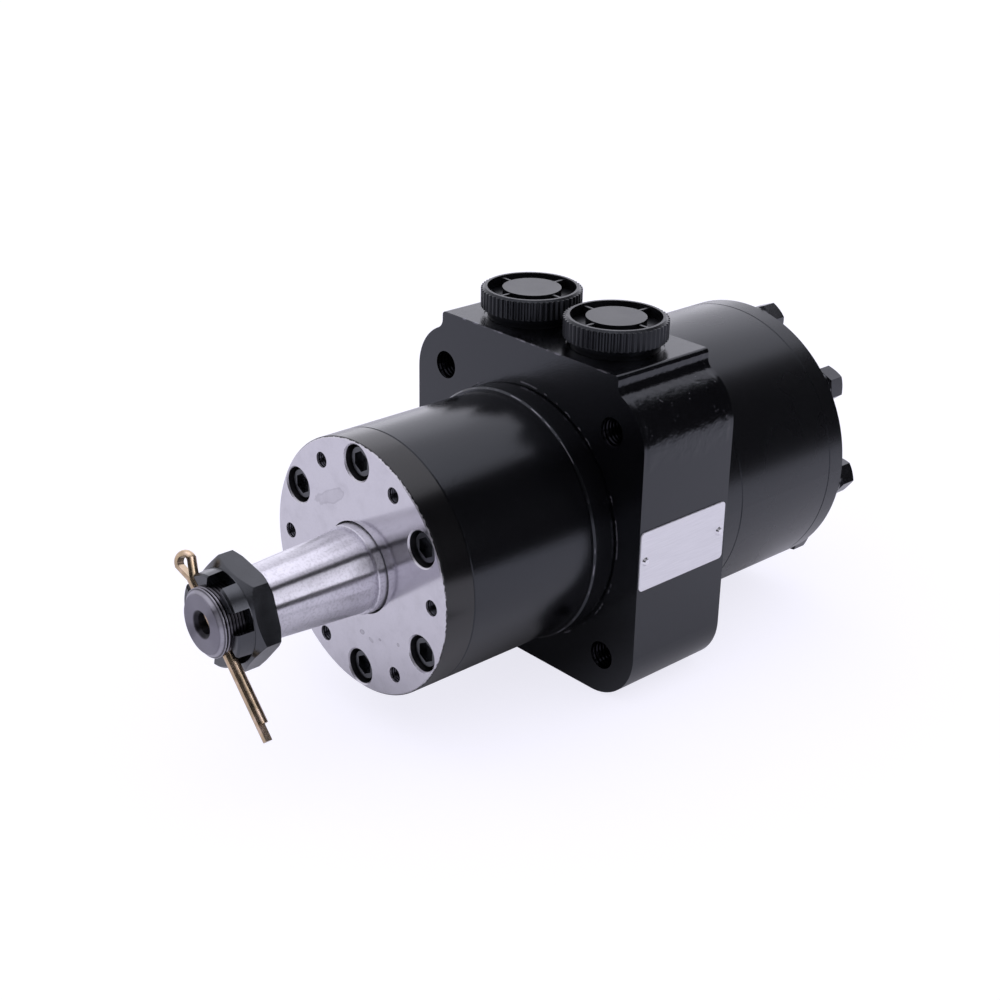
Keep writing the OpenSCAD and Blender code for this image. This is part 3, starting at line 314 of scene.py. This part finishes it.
def oilAndShadeOnEnd(tree, place, end, colour, rough):    # dull, with dark oil and painted shade in the thread roots, in the nut and in the centre hole
    radius = axisRadius(tree, place)
    alongY = addNode(tree, "ShaderNodeSeparateXYZ", None, {0: place}).outputs["Y"]
    ahead = softArea(tree, (alongY, end["from"]))
    # the chamfer ring at the end is kept less dull: bare steel, and a painted highlight
    rim = softArea(tree, (radius, end["bareHighlightRim"]))
    dull = addNode(tree, "ShaderNodeMath", {"operation": "MULTIPLY_ADD"},
                   {0: rim, 1: -end["rimShare"], 2: end["dullShare"]})
    dull = addNode(tree, "ShaderNodeMath", {"operation": "MULTIPLY"}, {0: ahead, 1: dull})
    colour = addNode(tree, "ShaderNodeMix", {"data_type": "RGBA"},
                     {0: dull, 6: colour, 7: hexColour(end["dull"])})
    # painted shade as well as oil: the thread roots, the thread inside the nut and the centre hole take the
    # dark oil colour
    oilAndShadeInRoots = softArea(tree, (radius, end["belowCrests"]), (radius, end["aboveChamfer"]),
                     (alongY, end["behindFace"]))
    shadeInNut = addNode(tree, "ShaderNodeMath", {"operation": "MULTIPLY"},
                    {0: softArea(tree, (alongY, end["shadeInNut"])), 1: end["nutShadeShare"]})
    shadeInHole = addNode(tree, "ShaderNodeMath", {"operation": "MULTIPLY"},
                     {0: softArea(tree, (radius, end["shadeInHole"])), 1: end["holeShadeShare"]})
    oiled = addNode(tree, "ShaderNodeMath", {"operation": "MAXIMUM"}, {0: shadeInNut, 1: shadeInHole})
    oiled = addNode(tree, "ShaderNodeMath", {"operation": "MAXIMUM"}, {0: oiled, 1: oilAndShadeInRoots})
    oiled = addNode(tree, "ShaderNodeMath", {"operation": "MULTIPLY"}, {0: oiled, 1: ahead})
    colour = addNode(tree, "ShaderNodeMix", {"data_type": "RGBA"},
                     {0: oiled, 6: colour, 7: hexColour(end["oil"])})
    rough = addNode(tree, "ShaderNodeMath", {"operation": "MULTIPLY_ADD"},
                    {0: ahead, 1: end["blur"], 2: rough})
    return colour, rough


def paintedRim(tree, place, look, colour, rough):    # sprayed with the casting, and only the face is bare; the holes behind the face get painted shade
    rim = look["rim"]
    radius = axisRadius(tree, place)
    alongY = addNode(tree, "ShaderNodeSeparateXYZ", None, {0: place}).outputs["Y"]
    behind = addNode(tree, "ShaderNodeMath", {"operation": "SUBTRACT"}, {0: alongY, 1: rim["face"]})
    wander = addNode(tree, "ShaderNodeTexNoise", None,
                     {"Vector": place, "Scale": perMm(rim["raggedSize"]), "Detail": 4.0})
    ragged = addNode(tree, "ShaderNodeMath", {"operation": "MULTIPLY_ADD"},
                     {0: wander, 1: rim["ragged"], 2: radius})
    chip = addNode(tree, "ShaderNodeTexNoise", None,
                   {"Vector": place, "Scale": perMm(rim["chipSize"]), "Detail": 4.0})
    chipped = softArea(tree, (behind, rim["chips"]), (chip, rim["chipEdge"]))
    kept = addNode(tree, "ShaderNodeMath", {"operation": "SUBTRACT"}, {0: 1.0, 1: chipped})
    paint = addNode(tree, "ShaderNodeMath", {"operation": "MULTIPLY"},
                    {0: softArea(tree, (ragged, rim["paint"])), 1: kept})
    bare = addNode(tree, "ShaderNodeMath", {"operation": "SUBTRACT"}, {0: 1.0, 1: paint})
    stretch = addNode(tree, "ShaderNodeMath", {"operation": "MULTIPLY"}, {0: bare, 1: look["stretch"]})
    # painted shade: the counterbores and holes behind the face are darkened
    shadedHoles = addNode(tree, "ShaderNodeMath", {"operation": "MULTIPLY"},
                   {0: softArea(tree, (behind, rim["holes"])), 1: rim["holeShadeShare"]})
    colour = addNode(tree, "ShaderNodeMix", {"data_type": "RGBA"},
                     {0: shadedHoles, 6: colour, 7: hexColour(rim["holeShadeColour"])})
    colour = addNode(tree, "ShaderNodeMix", {"data_type": "RGBA"},
                     {0: paint, 6: colour, 7: hexColour(enamelSet["black"])})
    rough = addNode(tree, "ShaderNodeMath", {"operation": "MULTIPLY_ADD"},
                    {0: softArea(tree, (behind, rim["chamfers"])), 1: rim["chamferBlur"], 2: rough})
    rough = addNode(tree, "ShaderNodeMix", {"data_type": "FLOAT"},
                    {0: paint, 2: rough, 3: rim["paintRough"]})
    return {"Base Color": colour, "Roughness": rough, "Metallic": bare, "Anisotropic": stretch,
            "Specular IOR Level": enamelSet["specular"]}


# Chemically blackened steel: a thin oiled oxide over machined metal, paler where it is rubbed.
oxideSet = {    # patterns in mm, depths in m
    "ior": 1.78,
    "sheen": "#f2f6ff",
    "cloud": 9.0,
    "rubbedEdge": (0.4, 0.75),
    "smoother": 0.08,
    "rougher": 0.1,
    "grain": 0.6,
    "grainDepth": 0.00002,
    "grainStrength": 0.3,
}


def blackOxide(name, dark, pale, roughness):
    material, tree, place = startMaterial(name)
    cloud = addNode(tree, "ShaderNodeTexNoise", None,
                    {"Vector": place, "Scale": perMm(oxideSet["cloud"]), "Detail": 5.0})
    colour = addNode(tree, "ShaderNodeMix", {"data_type": "RGBA"}, {
        0: softArea(tree, (cloud, oxideSet["rubbedEdge"])), 6: hexColour(dark), 7: hexColour(pale)})
    rough = addNode(tree, "ShaderNodeMapRange", None, {
        "Value": cloud, "To Min": roughness - oxideSet["smoother"],
        "To Max": roughness + oxideSet["rougher"]})
    grain = addNode(tree, "ShaderNodeTexNoise", None,
                    {"Vector": place, "Scale": perMm(oxideSet["grain"]), "Detail": 3.0})
    normal = addNode(tree, "ShaderNodeBump", None, {
        "Height": grain, "Distance": oxideSet["grainDepth"], "Strength": oxideSet["grainStrength"]})
    return finishMaterial(material, {
        "Base Color": colour, "Roughness": rough, "Normal": normal,
        "IOR": oxideSet["ior"], "Specular Tint": hexColour(oxideSet["sheen"])})


# Freshly cut threads in steel, dark with cutting oil and with painted shade for the inside of the holes,
# that only glint where they face the light.
cutSet = {
    "cloud": 2.0,    # mm
    "roughness": 0.2,
}


def cutThread(name, dark, pale):
    material, tree, place = startMaterial(name)
    cloud = addNode(tree, "ShaderNodeTexNoise", None,
                    {"Vector": place, "Scale": perMm(cutSet["cloud"]), "Detail": 4.0})
    colour = addNode(tree, "ShaderNodeMix", {"data_type": "RGBA"},
                     {0: cloud, 6: hexColour(dark), 7: hexColour(pale)})
    return finishMaterial(material, {
        "Base Color": colour, "Metallic": 1.0, "Roughness": cutSet["roughness"]})


# Yellow-passivated zinc plate on half-round steel wire: brown gold with a pink and a green cast in patches.
zincSet = {    # patterns in mm, depths in m
    "colours": {0.3: "#a69880", 0.5: "#bfa88b", 0.7: "#d9c2ad"},
    "patch": 4.0,
    "smooth": 0.2,
    "rough": 0.32,
    "dent": 1.5,
    "dentDepth": 0.00002,
    "dentStrength": 0.15,
}


def yellowZinc():
    material, tree, place = startMaterial("yellowZincPlate")
    cloud = addNode(tree, "ShaderNodeTexNoise", None,
                    {"Vector": place, "Scale": perMm(zincSet["patch"]), "Detail": 4.0})
    ramp = addNode(tree, "ShaderNodeValToRGB", None, {0: cloud})
    places = sorted(zincSet["colours"])
    ramp.color_ramp.elements[0].position = places[0]
    ramp.color_ramp.elements[1].position = places[-1]
    ramp.color_ramp.elements.new(places[1])
    for element, at in zip(ramp.color_ramp.elements, places):
        element.color = hexColour(zincSet["colours"][at])
    rough = addNode(tree, "ShaderNodeMapRange", None,
                    {"Value": cloud, "To Min": zincSet["smooth"], "To Max": zincSet["rough"]})
    dent = addNode(tree, "ShaderNodeTexNoise", None,
                   {"Vector": place, "Scale": perMm(zincSet["dent"]), "Detail": 2.0})
    normal = addNode(tree, "ShaderNodeBump", None, {
        "Height": dent, "Distance": zincSet["dentDepth"], "Strength": zincSet["dentStrength"]})
    return finishMaterial(material, {
        "Base Color": ramp, "Metallic": 1.0, "Roughness": rough, "Normal": normal})


# Moulded polyethylene: black, waxy, with a fine mould texture that keeps it matt.
plugSet = {    # patterns in mm, depths in m
    "dark": "#070709",
    "pale": "#0f0f12",
    "ior": 1.51,
    "specular": 0.43,
    "cloud": 12.0,
    "smooth": 0.25,
    "rough": 0.38,
    "texture": 0.45,
    "textureDepth": 0.00004,
    "textureStrength": 0.4,
}


def mouldedPlug():
    material, tree, place = startMaterial("mouldedPolyethylene")
    cloud = addNode(tree, "ShaderNodeTexNoise", None,
                    {"Vector": place, "Scale": perMm(plugSet["cloud"]), "Detail": 3.0})
    colour = addNode(tree, "ShaderNodeMix", {"data_type": "RGBA"},
                     {0: cloud, 6: hexColour(plugSet["dark"]), 7: hexColour(plugSet["pale"])})
    rough = addNode(tree, "ShaderNodeMapRange", None,
                    {"Value": cloud, "To Min": plugSet["smooth"], "To Max": plugSet["rough"]})
    texture = addNode(tree, "ShaderNodeTexNoise", None,
                      {"Vector": place, "Scale": perMm(plugSet["texture"]), "Detail": 3.0})
    normal = addNode(tree, "ShaderNodeBump", None, {
        "Height": texture, "Distance": plugSet["textureDepth"], "Strength": plugSet["textureStrength"]})
    return finishMaterial(material, {
        "Base Color": colour, "Roughness": rough, "Normal": normal, "IOR": plugSet["ior"],
        "Specular IOR Level": plugSet["specular"], "Specular Tint": hexColour(enamelSet["sheen"])})


# Nitrile rubber: black and matt with a dry bloom.
rubberSet = {    # patterns in mm, depths in m
    "dark": "#101011",
    "pale": "#222224",
    "ior": 1.52,
    "roughness": 0.6,
    "bloom": 2.5,
    "bloomDepth": 0.00005,
    "bloomStrength": 0.4,
}


def nitrileRubber():
    material, tree, place = startMaterial("nitrileRubber")
    bloom = addNode(tree, "ShaderNodeTexNoise", None,
                    {"Vector": place, "Scale": perMm(rubberSet["bloom"]), "Detail": 4.0})
    colour = addNode(tree, "ShaderNodeMix", {"data_type": "RGBA"},
                     {0: bloom, 6: hexColour(rubberSet["dark"]), 7: hexColour(rubberSet["pale"])})
    normal = addNode(tree, "ShaderNodeBump", None, {
        "Height": bloom, "Distance": rubberSet["bloomDepth"], "Strength": rubberSet["bloomStrength"]})
    return finishMaterial(material, {
        "Base Color": colour, "Normal": normal,
        "IOR": rubberSet["ior"], "Roughness": rubberSet["roughness"]})


# Clear-anodised aluminium sheet: pale satin with a brushed grain along the plate.
# The grain is really about 0.05 mm wide, drawn coarser so that it shows.
sheetSet = {    # patterns in mm, depths in m
    "grain": 0.35,
    "grainLonger": 25,
    "grainDepth": 0.00002,
    "grainStrength": 0.1,
}


def anodisedSheet(name, dark, pale, metallic, roughness):
    material, tree, place = startMaterial(name)
    brushed = addNode(tree, "ShaderNodeMapping", None,
                      {"Vector": place, "Scale": (1, 1 / sheetSet["grainLonger"], 1)})
    grain = addNode(tree, "ShaderNodeTexNoise", None,
                    {"Vector": brushed, "Scale": perMm(sheetSet["grain"]), "Detail": 2.0})
    colour = addNode(tree, "ShaderNodeMix", {"data_type": "RGBA"},
                     {0: grain, 6: hexColour(dark), 7: hexColour(pale)})
    normal = addNode(tree, "ShaderNodeBump", None, {
        "Height": grain, "Distance": sheetSet["grainDepth"], "Strength": sheetSet["grainStrength"]})
    return finishMaterial(material, {
        "Base Color": colour, "Normal": normal, "Metallic": metallic, "Roughness": roughness})


# the casting, where its edges are rubbed, and the other sprayed pieces
pilotRadius, pilotFront, grooveWidth, padTop = 0.05715, -0.0117, 0.0009, 0.0771
wornEdges = [    # m
    {"turned": True, "across": pilotRadius - 0.0003, "y": pilotFront + 0.0003,
     "width": 0.0003, "share": 0.48},
    {"turned": True, "across": pilotRadius + grooveWidth + 0.0002, "y": 0.0002,
     "width": 0.0007, "share": 0.52},
    {"turned": False, "across": padTop - 0.0003, "y": 0.0003, "width": 0.0005, "share": 0.48},
]
castEnamel = blackEnamel("blackEnamelOnCastIron", castDepth=0.00008, gloss=0.185,
                         wornEdges=wornEdges, rawShoulders=True)
smoothEnamel = blackEnamel("blackEnamelOnTurnedSteel", castDepth=0.00001, gloss=0.27)

coverFace = -0.0915
coverLook = {
    "faced": True,
    "steel": "#d0ced4",
    "grain": 0.05,
    "stretch": 0.7,
    "roughness": 0.13,
    "oilMarks": [    # places and sizes in m, tilt in degrees
        {"place": (-0.0172, coverFace, 0.0262), "size": 0.0031, "longer": 3.8, "tilt": 30, "strength": 0.32},
        {"place": (0.0138, coverFace, -0.0280), "size": 0.0009, "longer": 1.3, "tilt": 0, "strength": 0.8},
        {"place": (0.0018, coverFace, -0.0293), "size": 0.0011, "longer": 1.6, "tilt": 20, "strength": 0.8},
        {"place": (0.0256, coverFace, -0.0254), "size": 0.0008, "longer": 1.0, "tilt": 0, "strength": 0.8},
        {"place": (0.0080, coverFace, -0.0305), "size": 0.0007, "longer": 2.0, "tilt": -20, "strength": 0.6},
    ],
    "rim": {    # radii in m, depths behind the face in m, patterns in mm
        "face": coverFace,
        "paint": (0.0553, 0.05542),
        "paintRough": 0.2,
        "ragged": 0.0007,
        "raggedSize": 0.8,
        "chips": (0.0007, 0.0003),
        "chipSize": 1.6,
        "chipEdge": (0.5, 0.55),
        "holes": (0.0006, 0.0009),
        "holeShadeShare": 0.92,
        "holeShadeColour": "#17161a",
        "chamfers": (0.00005, 0.00015),
        "chamferBlur": 0.28,
    },
}
shaftLook = {
    "faced": False,
    "steel": "#d6d4dc",
    "grain": 0.3,
    "stretch": 0.97,
    "roughness": 0.29,
    "end": {    # places along Y and radii in m
        "from": (-0.1427, -0.1433),
        "dull": "#7c7a83",
        "dullShare": 0.95,
        "blur": 0.12,
        "bareHighlightRim": (0.0122, 0.0127),
        "rimShare": 0.35,
        # the oil colour also paints the shade in the thread roots, inside the nut and in the centre hole
        "oil": "#1a191b",
        "belowCrests": (0.0142, 0.0137),
        "aboveChamfer": (0.0118, 0.0124),
        "behindFace": (-0.1660, -0.1654),
        "shadeInNut": (-0.1635, -0.1620),
        "nutShadeShare": 0.8,
        "shadeInHole": (0.0062, 0.0054),
        "holeShadeShare": 0.9,
    },
}
plainLook = {"faced": True, "steel": "#cfced4", "grain": 0.1, "stretch": 0.6, "roughness": 0.28}
groundLook = {"faced": False, "steel": "#cfced4", "grain": 0.1, "stretch": 0.6, "roughness": 0.2}

facedCover = turnedSteel("facedSteelCover", coverLook)
turnedShaft = turnedSteel("turnedSteelShaft", shaftLook)
plainSteel = turnedSteel("turnedSteel", plainLook)
bearingSteel = turnedSteel("groundBearingSteel", groundLook)
nutOxide = blackOxide("blackOxideNut", dark="#060708", pale="#111215", roughness=0.22)
screwOxide = blackOxide("blackOxideScrews", dark="#060608", pale="#111114", roughness=0.22)
# both thread colours are darkened to paint the shade inside the holes, the flange's the most
oiledShadedThread = cutThread("oiledCutThreadInShade", dark="#1c1c20", pale="#66666d")
shadedFlangeThread = cutThread("flangeThreadInShade", dark="#08080a", pale="#2b2b30")
zinc = yellowZinc()
polyethylene = mouldedPlug()
rubber = nitrileRubber()
aluminium = anodisedSheet("anodisedAluminiumSheet", dark="#d6d5db", pale="#eae9ef",
                          metallic=0.5, roughness=0.4)
rivetAluminium = anodisedSheet("bareAluminiumRivets", dark="#e2e1e6", pale="#f0eff4",
                               metallic=1.0, roughness=0.22)

finishes = {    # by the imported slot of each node
    "black_paint": smoothEnamel,
    "turned_steel": plainSteel,
    "ground_steel": bearingSteel,
    "bearing_steel": bearingSteel,
    "black_oxide": nutOxide,
    "screw_steel": screwOxide,
    "yellow_zinc": zinc,
    "seal_rubber": rubber,
    "plug_plastic": polyethylene,
    "plate_aluminium": aluminium,
}
ownFinishes = {
    "main_housing": castEnamel,
    "front_cover": facedCover,
    "output_shaft": turnedShaft,
    "nameplate_rivets": rivetAluminium,
}
for name, nodeObject in nodes.items():
    slotName = nodeObject.data.materials[0].name.split(".")[0]
    nodeObject.material_slots[0].material = finishes[slotName]
for name, material in ownFinishes.items():
    nodes[name].material_slots[0].material = material
print("materials given to", len(nodes), "nodes")


# edges of the casting are rounded and those of turned pieces only broken

edgeSet = {
    "sharpAngle": math.radians(28),
    "segments": 3,
    "joinWithin": 0.00001,    # m
    "flatFaceWeight": 80,
    "width": {    # m
        "main_housing": 0.0009,
        "front_cover": 0.00025,
        "castle_nut": 0.00035,
        "end_cover_bolts": 0.0003,
        "front_cover_screws": 0.0002,
        "port_plug_a": 0.0003,
        "port_plug_b": 0.0003,
    },
}


def roundEdges(nodeObject, width):    # the CAD faces lie loose side by side, so they are joined first
    group = bpy.data.node_groups.new("joinFaces", "GeometryNodeTree")
    group.interface.new_socket("Geometry", in_out="INPUT", socket_type="NodeSocketGeometry")
    group.interface.new_socket("Geometry", in_out="OUTPUT", socket_type="NodeSocketGeometry")
    given = addNode(group, "NodeGroupInput").outputs[0]
    bare = addNode(group, "GeometryNodeRemoveAttribute", None, {0: given, "Name": "custom_normal"})
    joined = addNode(group, "GeometryNodeMergeByDistance", None,
                     {"Geometry": bare, "Distance": edgeSet["joinWithin"]})
    soft = addNode(group, "GeometryNodeSetShadeSmooth", {"domain": "EDGE"},
                   {0: joined, "Shade Smooth": True})
    addNode(group, "NodeGroupOutput", None, {0: soft})
    join = nodeObject.modifiers.new("joinFaces", "NODES")
    join.node_group = group
    bevel = nodeObject.modifiers.new("roundEdges", "BEVEL")
    bevel.width = width
    bevel.segments = edgeSet["segments"]
    bevel.limit_method = "ANGLE"
    bevel.angle_limit = edgeSet["sharpAngle"]
    bevel.miter_outer = "MITER_ARC"
    weigh = nodeObject.modifiers.new("evenNormals", "WEIGHTED_NORMAL")
    weigh.weight = edgeSet["flatFaceWeight"]
    weigh.keep_sharp = True


for name, width in edgeSet["width"].items():
    roundEdges(nodes[name], width)
print("edges rounded on", len(edgeSet["width"]), "nodes")


# floor, studio cards and world

studioSet = {
    "floorHeight": -0.071,
    "floorSize": 14.0,
    "floorColour": "#f1f0f6",
    "lightColour": "#f6f5ff",
    "paintShare": 0.35,
    "lift": 0.82,
    "liftInMetal": 0.15,
    # underMotor, underSize and underShade place a painted shadow on the floor, seen in reflections
    "underMotor": (-0.005, 0.0),
    "underSize": (0.085, 0.155),
    "underShade": 0.8,
    "cardAboveFloor": 0.001,
}
# The photographer's cards and a painted shadow on the floor: angles in degrees as seen from the motor, the
# rest in m.
# Those with low and high stand, and those with near and far lie on the floor and widen away from the motor.
cardSet = {
    "darkCard": {"azimuth": 42, "low": -3, "high": 53, "distance": 3.5, "width": 6, "strength": 0.02},
    "darkFloorCard": {"azimuth": 42, "near": 0.8, "far": 3.4, "width": 5.8, "strength": 0.02},
    # a painted shadow: a dark sheet on the floor beside the motor, where its shadow falls, that the nut's
    # facets reflect
    "shadowCardByNut": {"azimuth": -9, "near": 0.145, "far": 0.19, "width": 0.05, "strength": 0.02},
    "brightCard": {"azimuth": 137, "low": -3, "high": 14, "distance": 3.5, "width": 5, "strength": 1.7},
    "brightCardAbove": {"azimuth": 137, "low": 14, "high": 40, "distance": 3.5, "width": 5,
                        "strength": 1.35},
    "lowStrip": {"azimuth": 0, "low": -1, "high": 10.5, "distance": 3.3, "width": 14, "strength": 0.02},
    "sidePanel": {"azimuth": 12, "low": 11, "high": 50, "distance": 3.4, "width": 1.5, "strength": 3.0},
    "highStrip": {"azimuth": 0, "low": 50, "high": 64, "distance": 3.3, "width": 14, "strength": 0.02},
    "cameraCard": {"azimuth": -62, "low": -1, "high": 46, "distance": 3.5, "width": 5, "strength": 0.03},
    "overheadCard": {"left": -2.0, "right": 0.9, "front": -1.0, "rear": 2.0, "above": 3.4, "strength": 1.9},
}


def makeFloor():
    size, z = studioSet["floorSize"] / 2, studioSet["floorHeight"]
    mesh = bpy.data.meshes.new("floor")
    corners = [(-size, -size, z), (size, -size, z), (size, size, z), (-size, size, z)]
    mesh.from_pydata(corners, [], [(0, 1, 2, 3)])
    floor = bpy.data.objects.new("floor", mesh)
    bpy.context.scene.collection.objects.link(floor)
    material, tree, place = startMaterial("paintedFloor")
    # a painted shadow: polished paint and metal see the floor right under the motor darkened, where the
    # motor's own shadow falls
    (x, y), (wide, deep) = studioSet["underMotor"], studioSet["underSize"]
    fromMiddle = addNode(tree, "ShaderNodeVectorMath", {"operation": "MULTIPLY_ADD"},
                         {0: place, 1: (1 / wide, 1 / deep, 0), 2: (-x / wide, -y / deep, 0)})
    reach = addNode(tree, "ShaderNodeVectorMath", {"operation": "LENGTH"}, {0: fromMiddle})
    under = addNode(tree, "ShaderNodeMath", {"operation": "MULTIPLY"},
                    {0: softArea(tree, (reach, (1.0, 0.25))), 1: studioSet["underShade"]})
    path = addNode(tree, "ShaderNodeLightPath")
    inMetal = addNode(tree, "ShaderNodeMath", {"operation": "ADD", "use_clamp": True},
                      {0: path.outputs["Is Glossy Ray"], 1: path.outputs["Is Transmission Ray"]})
    shade = addNode(tree, "ShaderNodeMath", {"operation": "MULTIPLY"}, {0: inMetal, 1: under})
    floorColour = hexColour(studioSet["floorColour"])
    floorWithPaintedShadow = addNode(tree, "ShaderNodeMix", {"data_type": "RGBA"},
                     {0: shade, 6: floorColour, 7: (0.0, 0.0, 0.0, 1.0)})
    paint = addNode(tree, "ShaderNodeBsdfDiffuse", None, {"Color": floorWithPaintedShadow})
    # the camera sees a white floor with a light shadow, and metal and glass see a share of that lift
    lift = addNode(tree, "ShaderNodeEmission", None,
                   {"Color": hexColour(studioSet["lightColour"]), "Strength": studioSet["lift"]})
    thinColour = tuple(studioSet["paintShare"] * c for c in floorColour[:3]) + (1.0,)
    thin = addNode(tree, "ShaderNodeBsdfDiffuse", None, {"Color": thinColour})
    lifted = addNode(tree, "ShaderNodeAddShader", None, {0: thin, 1: lift})
    clear = addNode(tree, "ShaderNodeMath", {"operation": "SUBTRACT"}, {0: 1.0, 1: under})
    clear = addNode(tree, "ShaderNodeMath", {"operation": "MULTIPLY"}, {0: inMetal, 1: clear})
    share = addNode(tree, "ShaderNodeMath", {"operation": "MULTIPLY_ADD"},
                    {0: clear, 1: studioSet["liftInMetal"], 2: path.outputs["Is Camera Ray"]})
    seen = addNode(tree, "ShaderNodeMixShader", None, {0: share, 1: paint, 2: lifted})
    addNode(tree, "ShaderNodeOutputMaterial", None, {"Surface": seen})
    floor.data.materials.append(material)


def addCard(name, corners, strength):    # seen in reflections only
    mesh = bpy.data.meshes.new(name)
    mesh.from_pydata([tuple(c) for c in corners], [], [(0, 1, 2, 3)])
    card = bpy.data.objects.new(name, mesh)
    bpy.context.scene.collection.objects.link(card)
    material = bpy.data.materials.new(name)
    tree = emptyTree(material)
    glow = addNode(tree, "ShaderNodeEmission", None,
                   {"Color": hexColour(studioSet["lightColour"]), "Strength": strength})
    addNode(tree, "ShaderNodeOutputMaterial", None, {"Surface": glow})
    card.data.materials.append(material)
    card.visible_camera = False
    card.visible_diffuse = False
    card.visible_shadow = False


def cardCorners(form):
    onFloor = studioSet["floorHeight"] + studioSet["cardAboveFloor"]
    if "above" in form:
        left, right, front, rear, z = (form[key] for key in ("left", "right", "front", "rear", "above"))
        return [(left, front, z), (right, front, z), (right, rear, z), (left, rear, z)]
    angle = math.radians(form["azimuth"])
    toward = Vector((math.cos(angle), math.sin(angle), 0))
    side = Vector((-toward.y, toward.x, 0)) * form["width"] / 2
    if "near" in form:
        near, far, up = toward * form["near"], toward * form["far"], Vector((0, 0, onFloor))
        nearSide = side * form["near"] / form["far"]
        return [near - nearSide + up, near + nearSide + up, far + side + up, far - side + up]
    base = toward * form["distance"]
    foot, head = (form["distance"] * math.tan(math.radians(form[key])) for key in ("low", "high"))
    foot, head = Vector((0, 0, max(foot, onFloor))), Vector((0, 0, head))
    return [base - side + foot, base + side + foot, base + side + head, base - side + head]


def makeWorld():
    world = bpy.data.worlds.new("studio")
    tree = emptyTree(world)
    soft = addNode(tree, "ShaderNodeBackground", None,
                   {"Color": hexColour(studioSet["lightColour"]), "Strength": 1.0})
    # the camera sees plain white above the floor, so that low views show no horizon
    white = addNode(tree, "ShaderNodeBackground", None, {"Color": (1.0, 1.0, 1.0, 1.0), "Strength": 1.0})
    byCamera = addNode(tree, "ShaderNodeLightPath").outputs["Is Camera Ray"]
    both = addNode(tree, "ShaderNodeMixShader", None, {0: byCamera, 1: soft, 2: white})
    addNode(tree, "ShaderNodeOutputWorld", None, {"Surface": both})
    bpy.context.scene.world = world


makeFloor()
for name, form in cardSet.items():
    addCard(name, cardCorners(form), form["strength"])
makeWorld()
print("stage made with", len(cardSet), "cards")


# threads cut in the holes, as closed sleeves that lie against the holes' walls

threadSet = {    # mm
    "flange": {"radius": 6.35, "depth": 0.75, "pitch": 1.95, "start": 0.7, "length": 22.5, "steps": 56},
    "cover": {"radius": 3.4, "depth": 0.5, "pitch": 1.06, "start": 0.7, "length": 10.8, "steps": 40},
    "port": {"radius": 12.6, "depth": 0.2, "pitch": 1.59, "start": 1.0, "length": 12.0, "steps": 64},
    "rowsPerPitch": 6,
    "flankSlope": 1.35,
    "rootFlat": 0.15,
    "wallBehind": 0.3,
}
holeSet = {    # m
    "flangeAcross": 0.0522,
    "coverRadius": 0.0465,
    "portAcross": 0.026,
    "portMiddle": 0.0272,
}


def threadSleeve(name, kind, corner, along, aside, body, material):
    form = threadSet[kind]
    around, pitch, start, length = form["steps"], form["pitch"], form["start"], form["length"]
    other = along.cross(aside)
    rings = int(length / pitch * threadSet["rowsPerPitch"])
    points, faces = [], []
    for j in range(-1, rings + 2):    # the first and the last row lie behind the thread, against the wall
        inside = 0 <= j <= rings
        y = start + length * min(max(j, 0), rings) / rings
        fade = min(1.0, (y - start) / pitch, (start + length - y) / pitch)
        for k in range(around):
            turn = (y / pitch - k / around) % 1.0
            tooth = 1 - abs(2 * turn - 1)
            tooth = min(1.0, max(0.0, tooth * threadSet["flankSlope"] - threadSet["rootFlat"]))
            cut = form["depth"] * tooth * fade
            r = form["radius"] - cut if inside else form["radius"] + threadSet["wallBehind"]
            angle = 2 * math.pi * k / around
            spot = along * y + aside * (r * math.cos(angle)) + other * (r * math.sin(angle))
            points.append(corner + spot * 0.001)
    rows = rings + 3
    for j in range(rows):
        for k in range(around):
            a, b = j * around + k, j * around + (k + 1) % around
            c, d = ((j + 1) % rows) * around + (k + 1) % around, ((j + 1) % rows) * around + k
            faces.append((a, b, c, d))
    mesh = bpy.data.meshes.new(name)
    mesh.from_pydata([tuple(p) for p in points], [], faces)
    mesh.shade_smooth()
    sleeve = bpy.data.objects.new(name, mesh)
    bpy.context.scene.collection.objects.link(sleeve)
    sleeve.data.materials.append(material)
    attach(sleeve, body)
    return sleeve


intoFace, intoPad, acrossFace = Vector((0, 1, 0)), Vector((0, 0, -1)), Vector((1, 0, 0))
for k, (x, z) in enumerate([(1, 1), (-1, 1), (-1, -1), (1, -1)]):
    corner = Vector((x * holeSet["flangeAcross"], 0, z * holeSet["flangeAcross"]))
    threadSleeve(f"flange_thread_{k + 1}", "flange", corner,
                 intoFace, acrossFace, "housing", shadedFlangeThread)
for k in range(6):
    angle, reach = math.radians(60 + 60 * k), holeSet["coverRadius"]
    threadSleeve(f"cover_thread_{k + 1}", "cover",
                 Vector((reach * math.cos(angle), coverFace, reach * math.sin(angle))),
                 intoFace, acrossFace, "housing", oiledShadedThread)
for k, side in enumerate((-1, 1)):
    threadSleeve(f"port_thread_{k + 1}", "port",
                 Vector((side * holeSet["portAcross"], holeSet["portMiddle"], padTop)),
                 intoPad, acrossFace, "housing", oiledShadedThread)
print("threads cut in 12 holes")
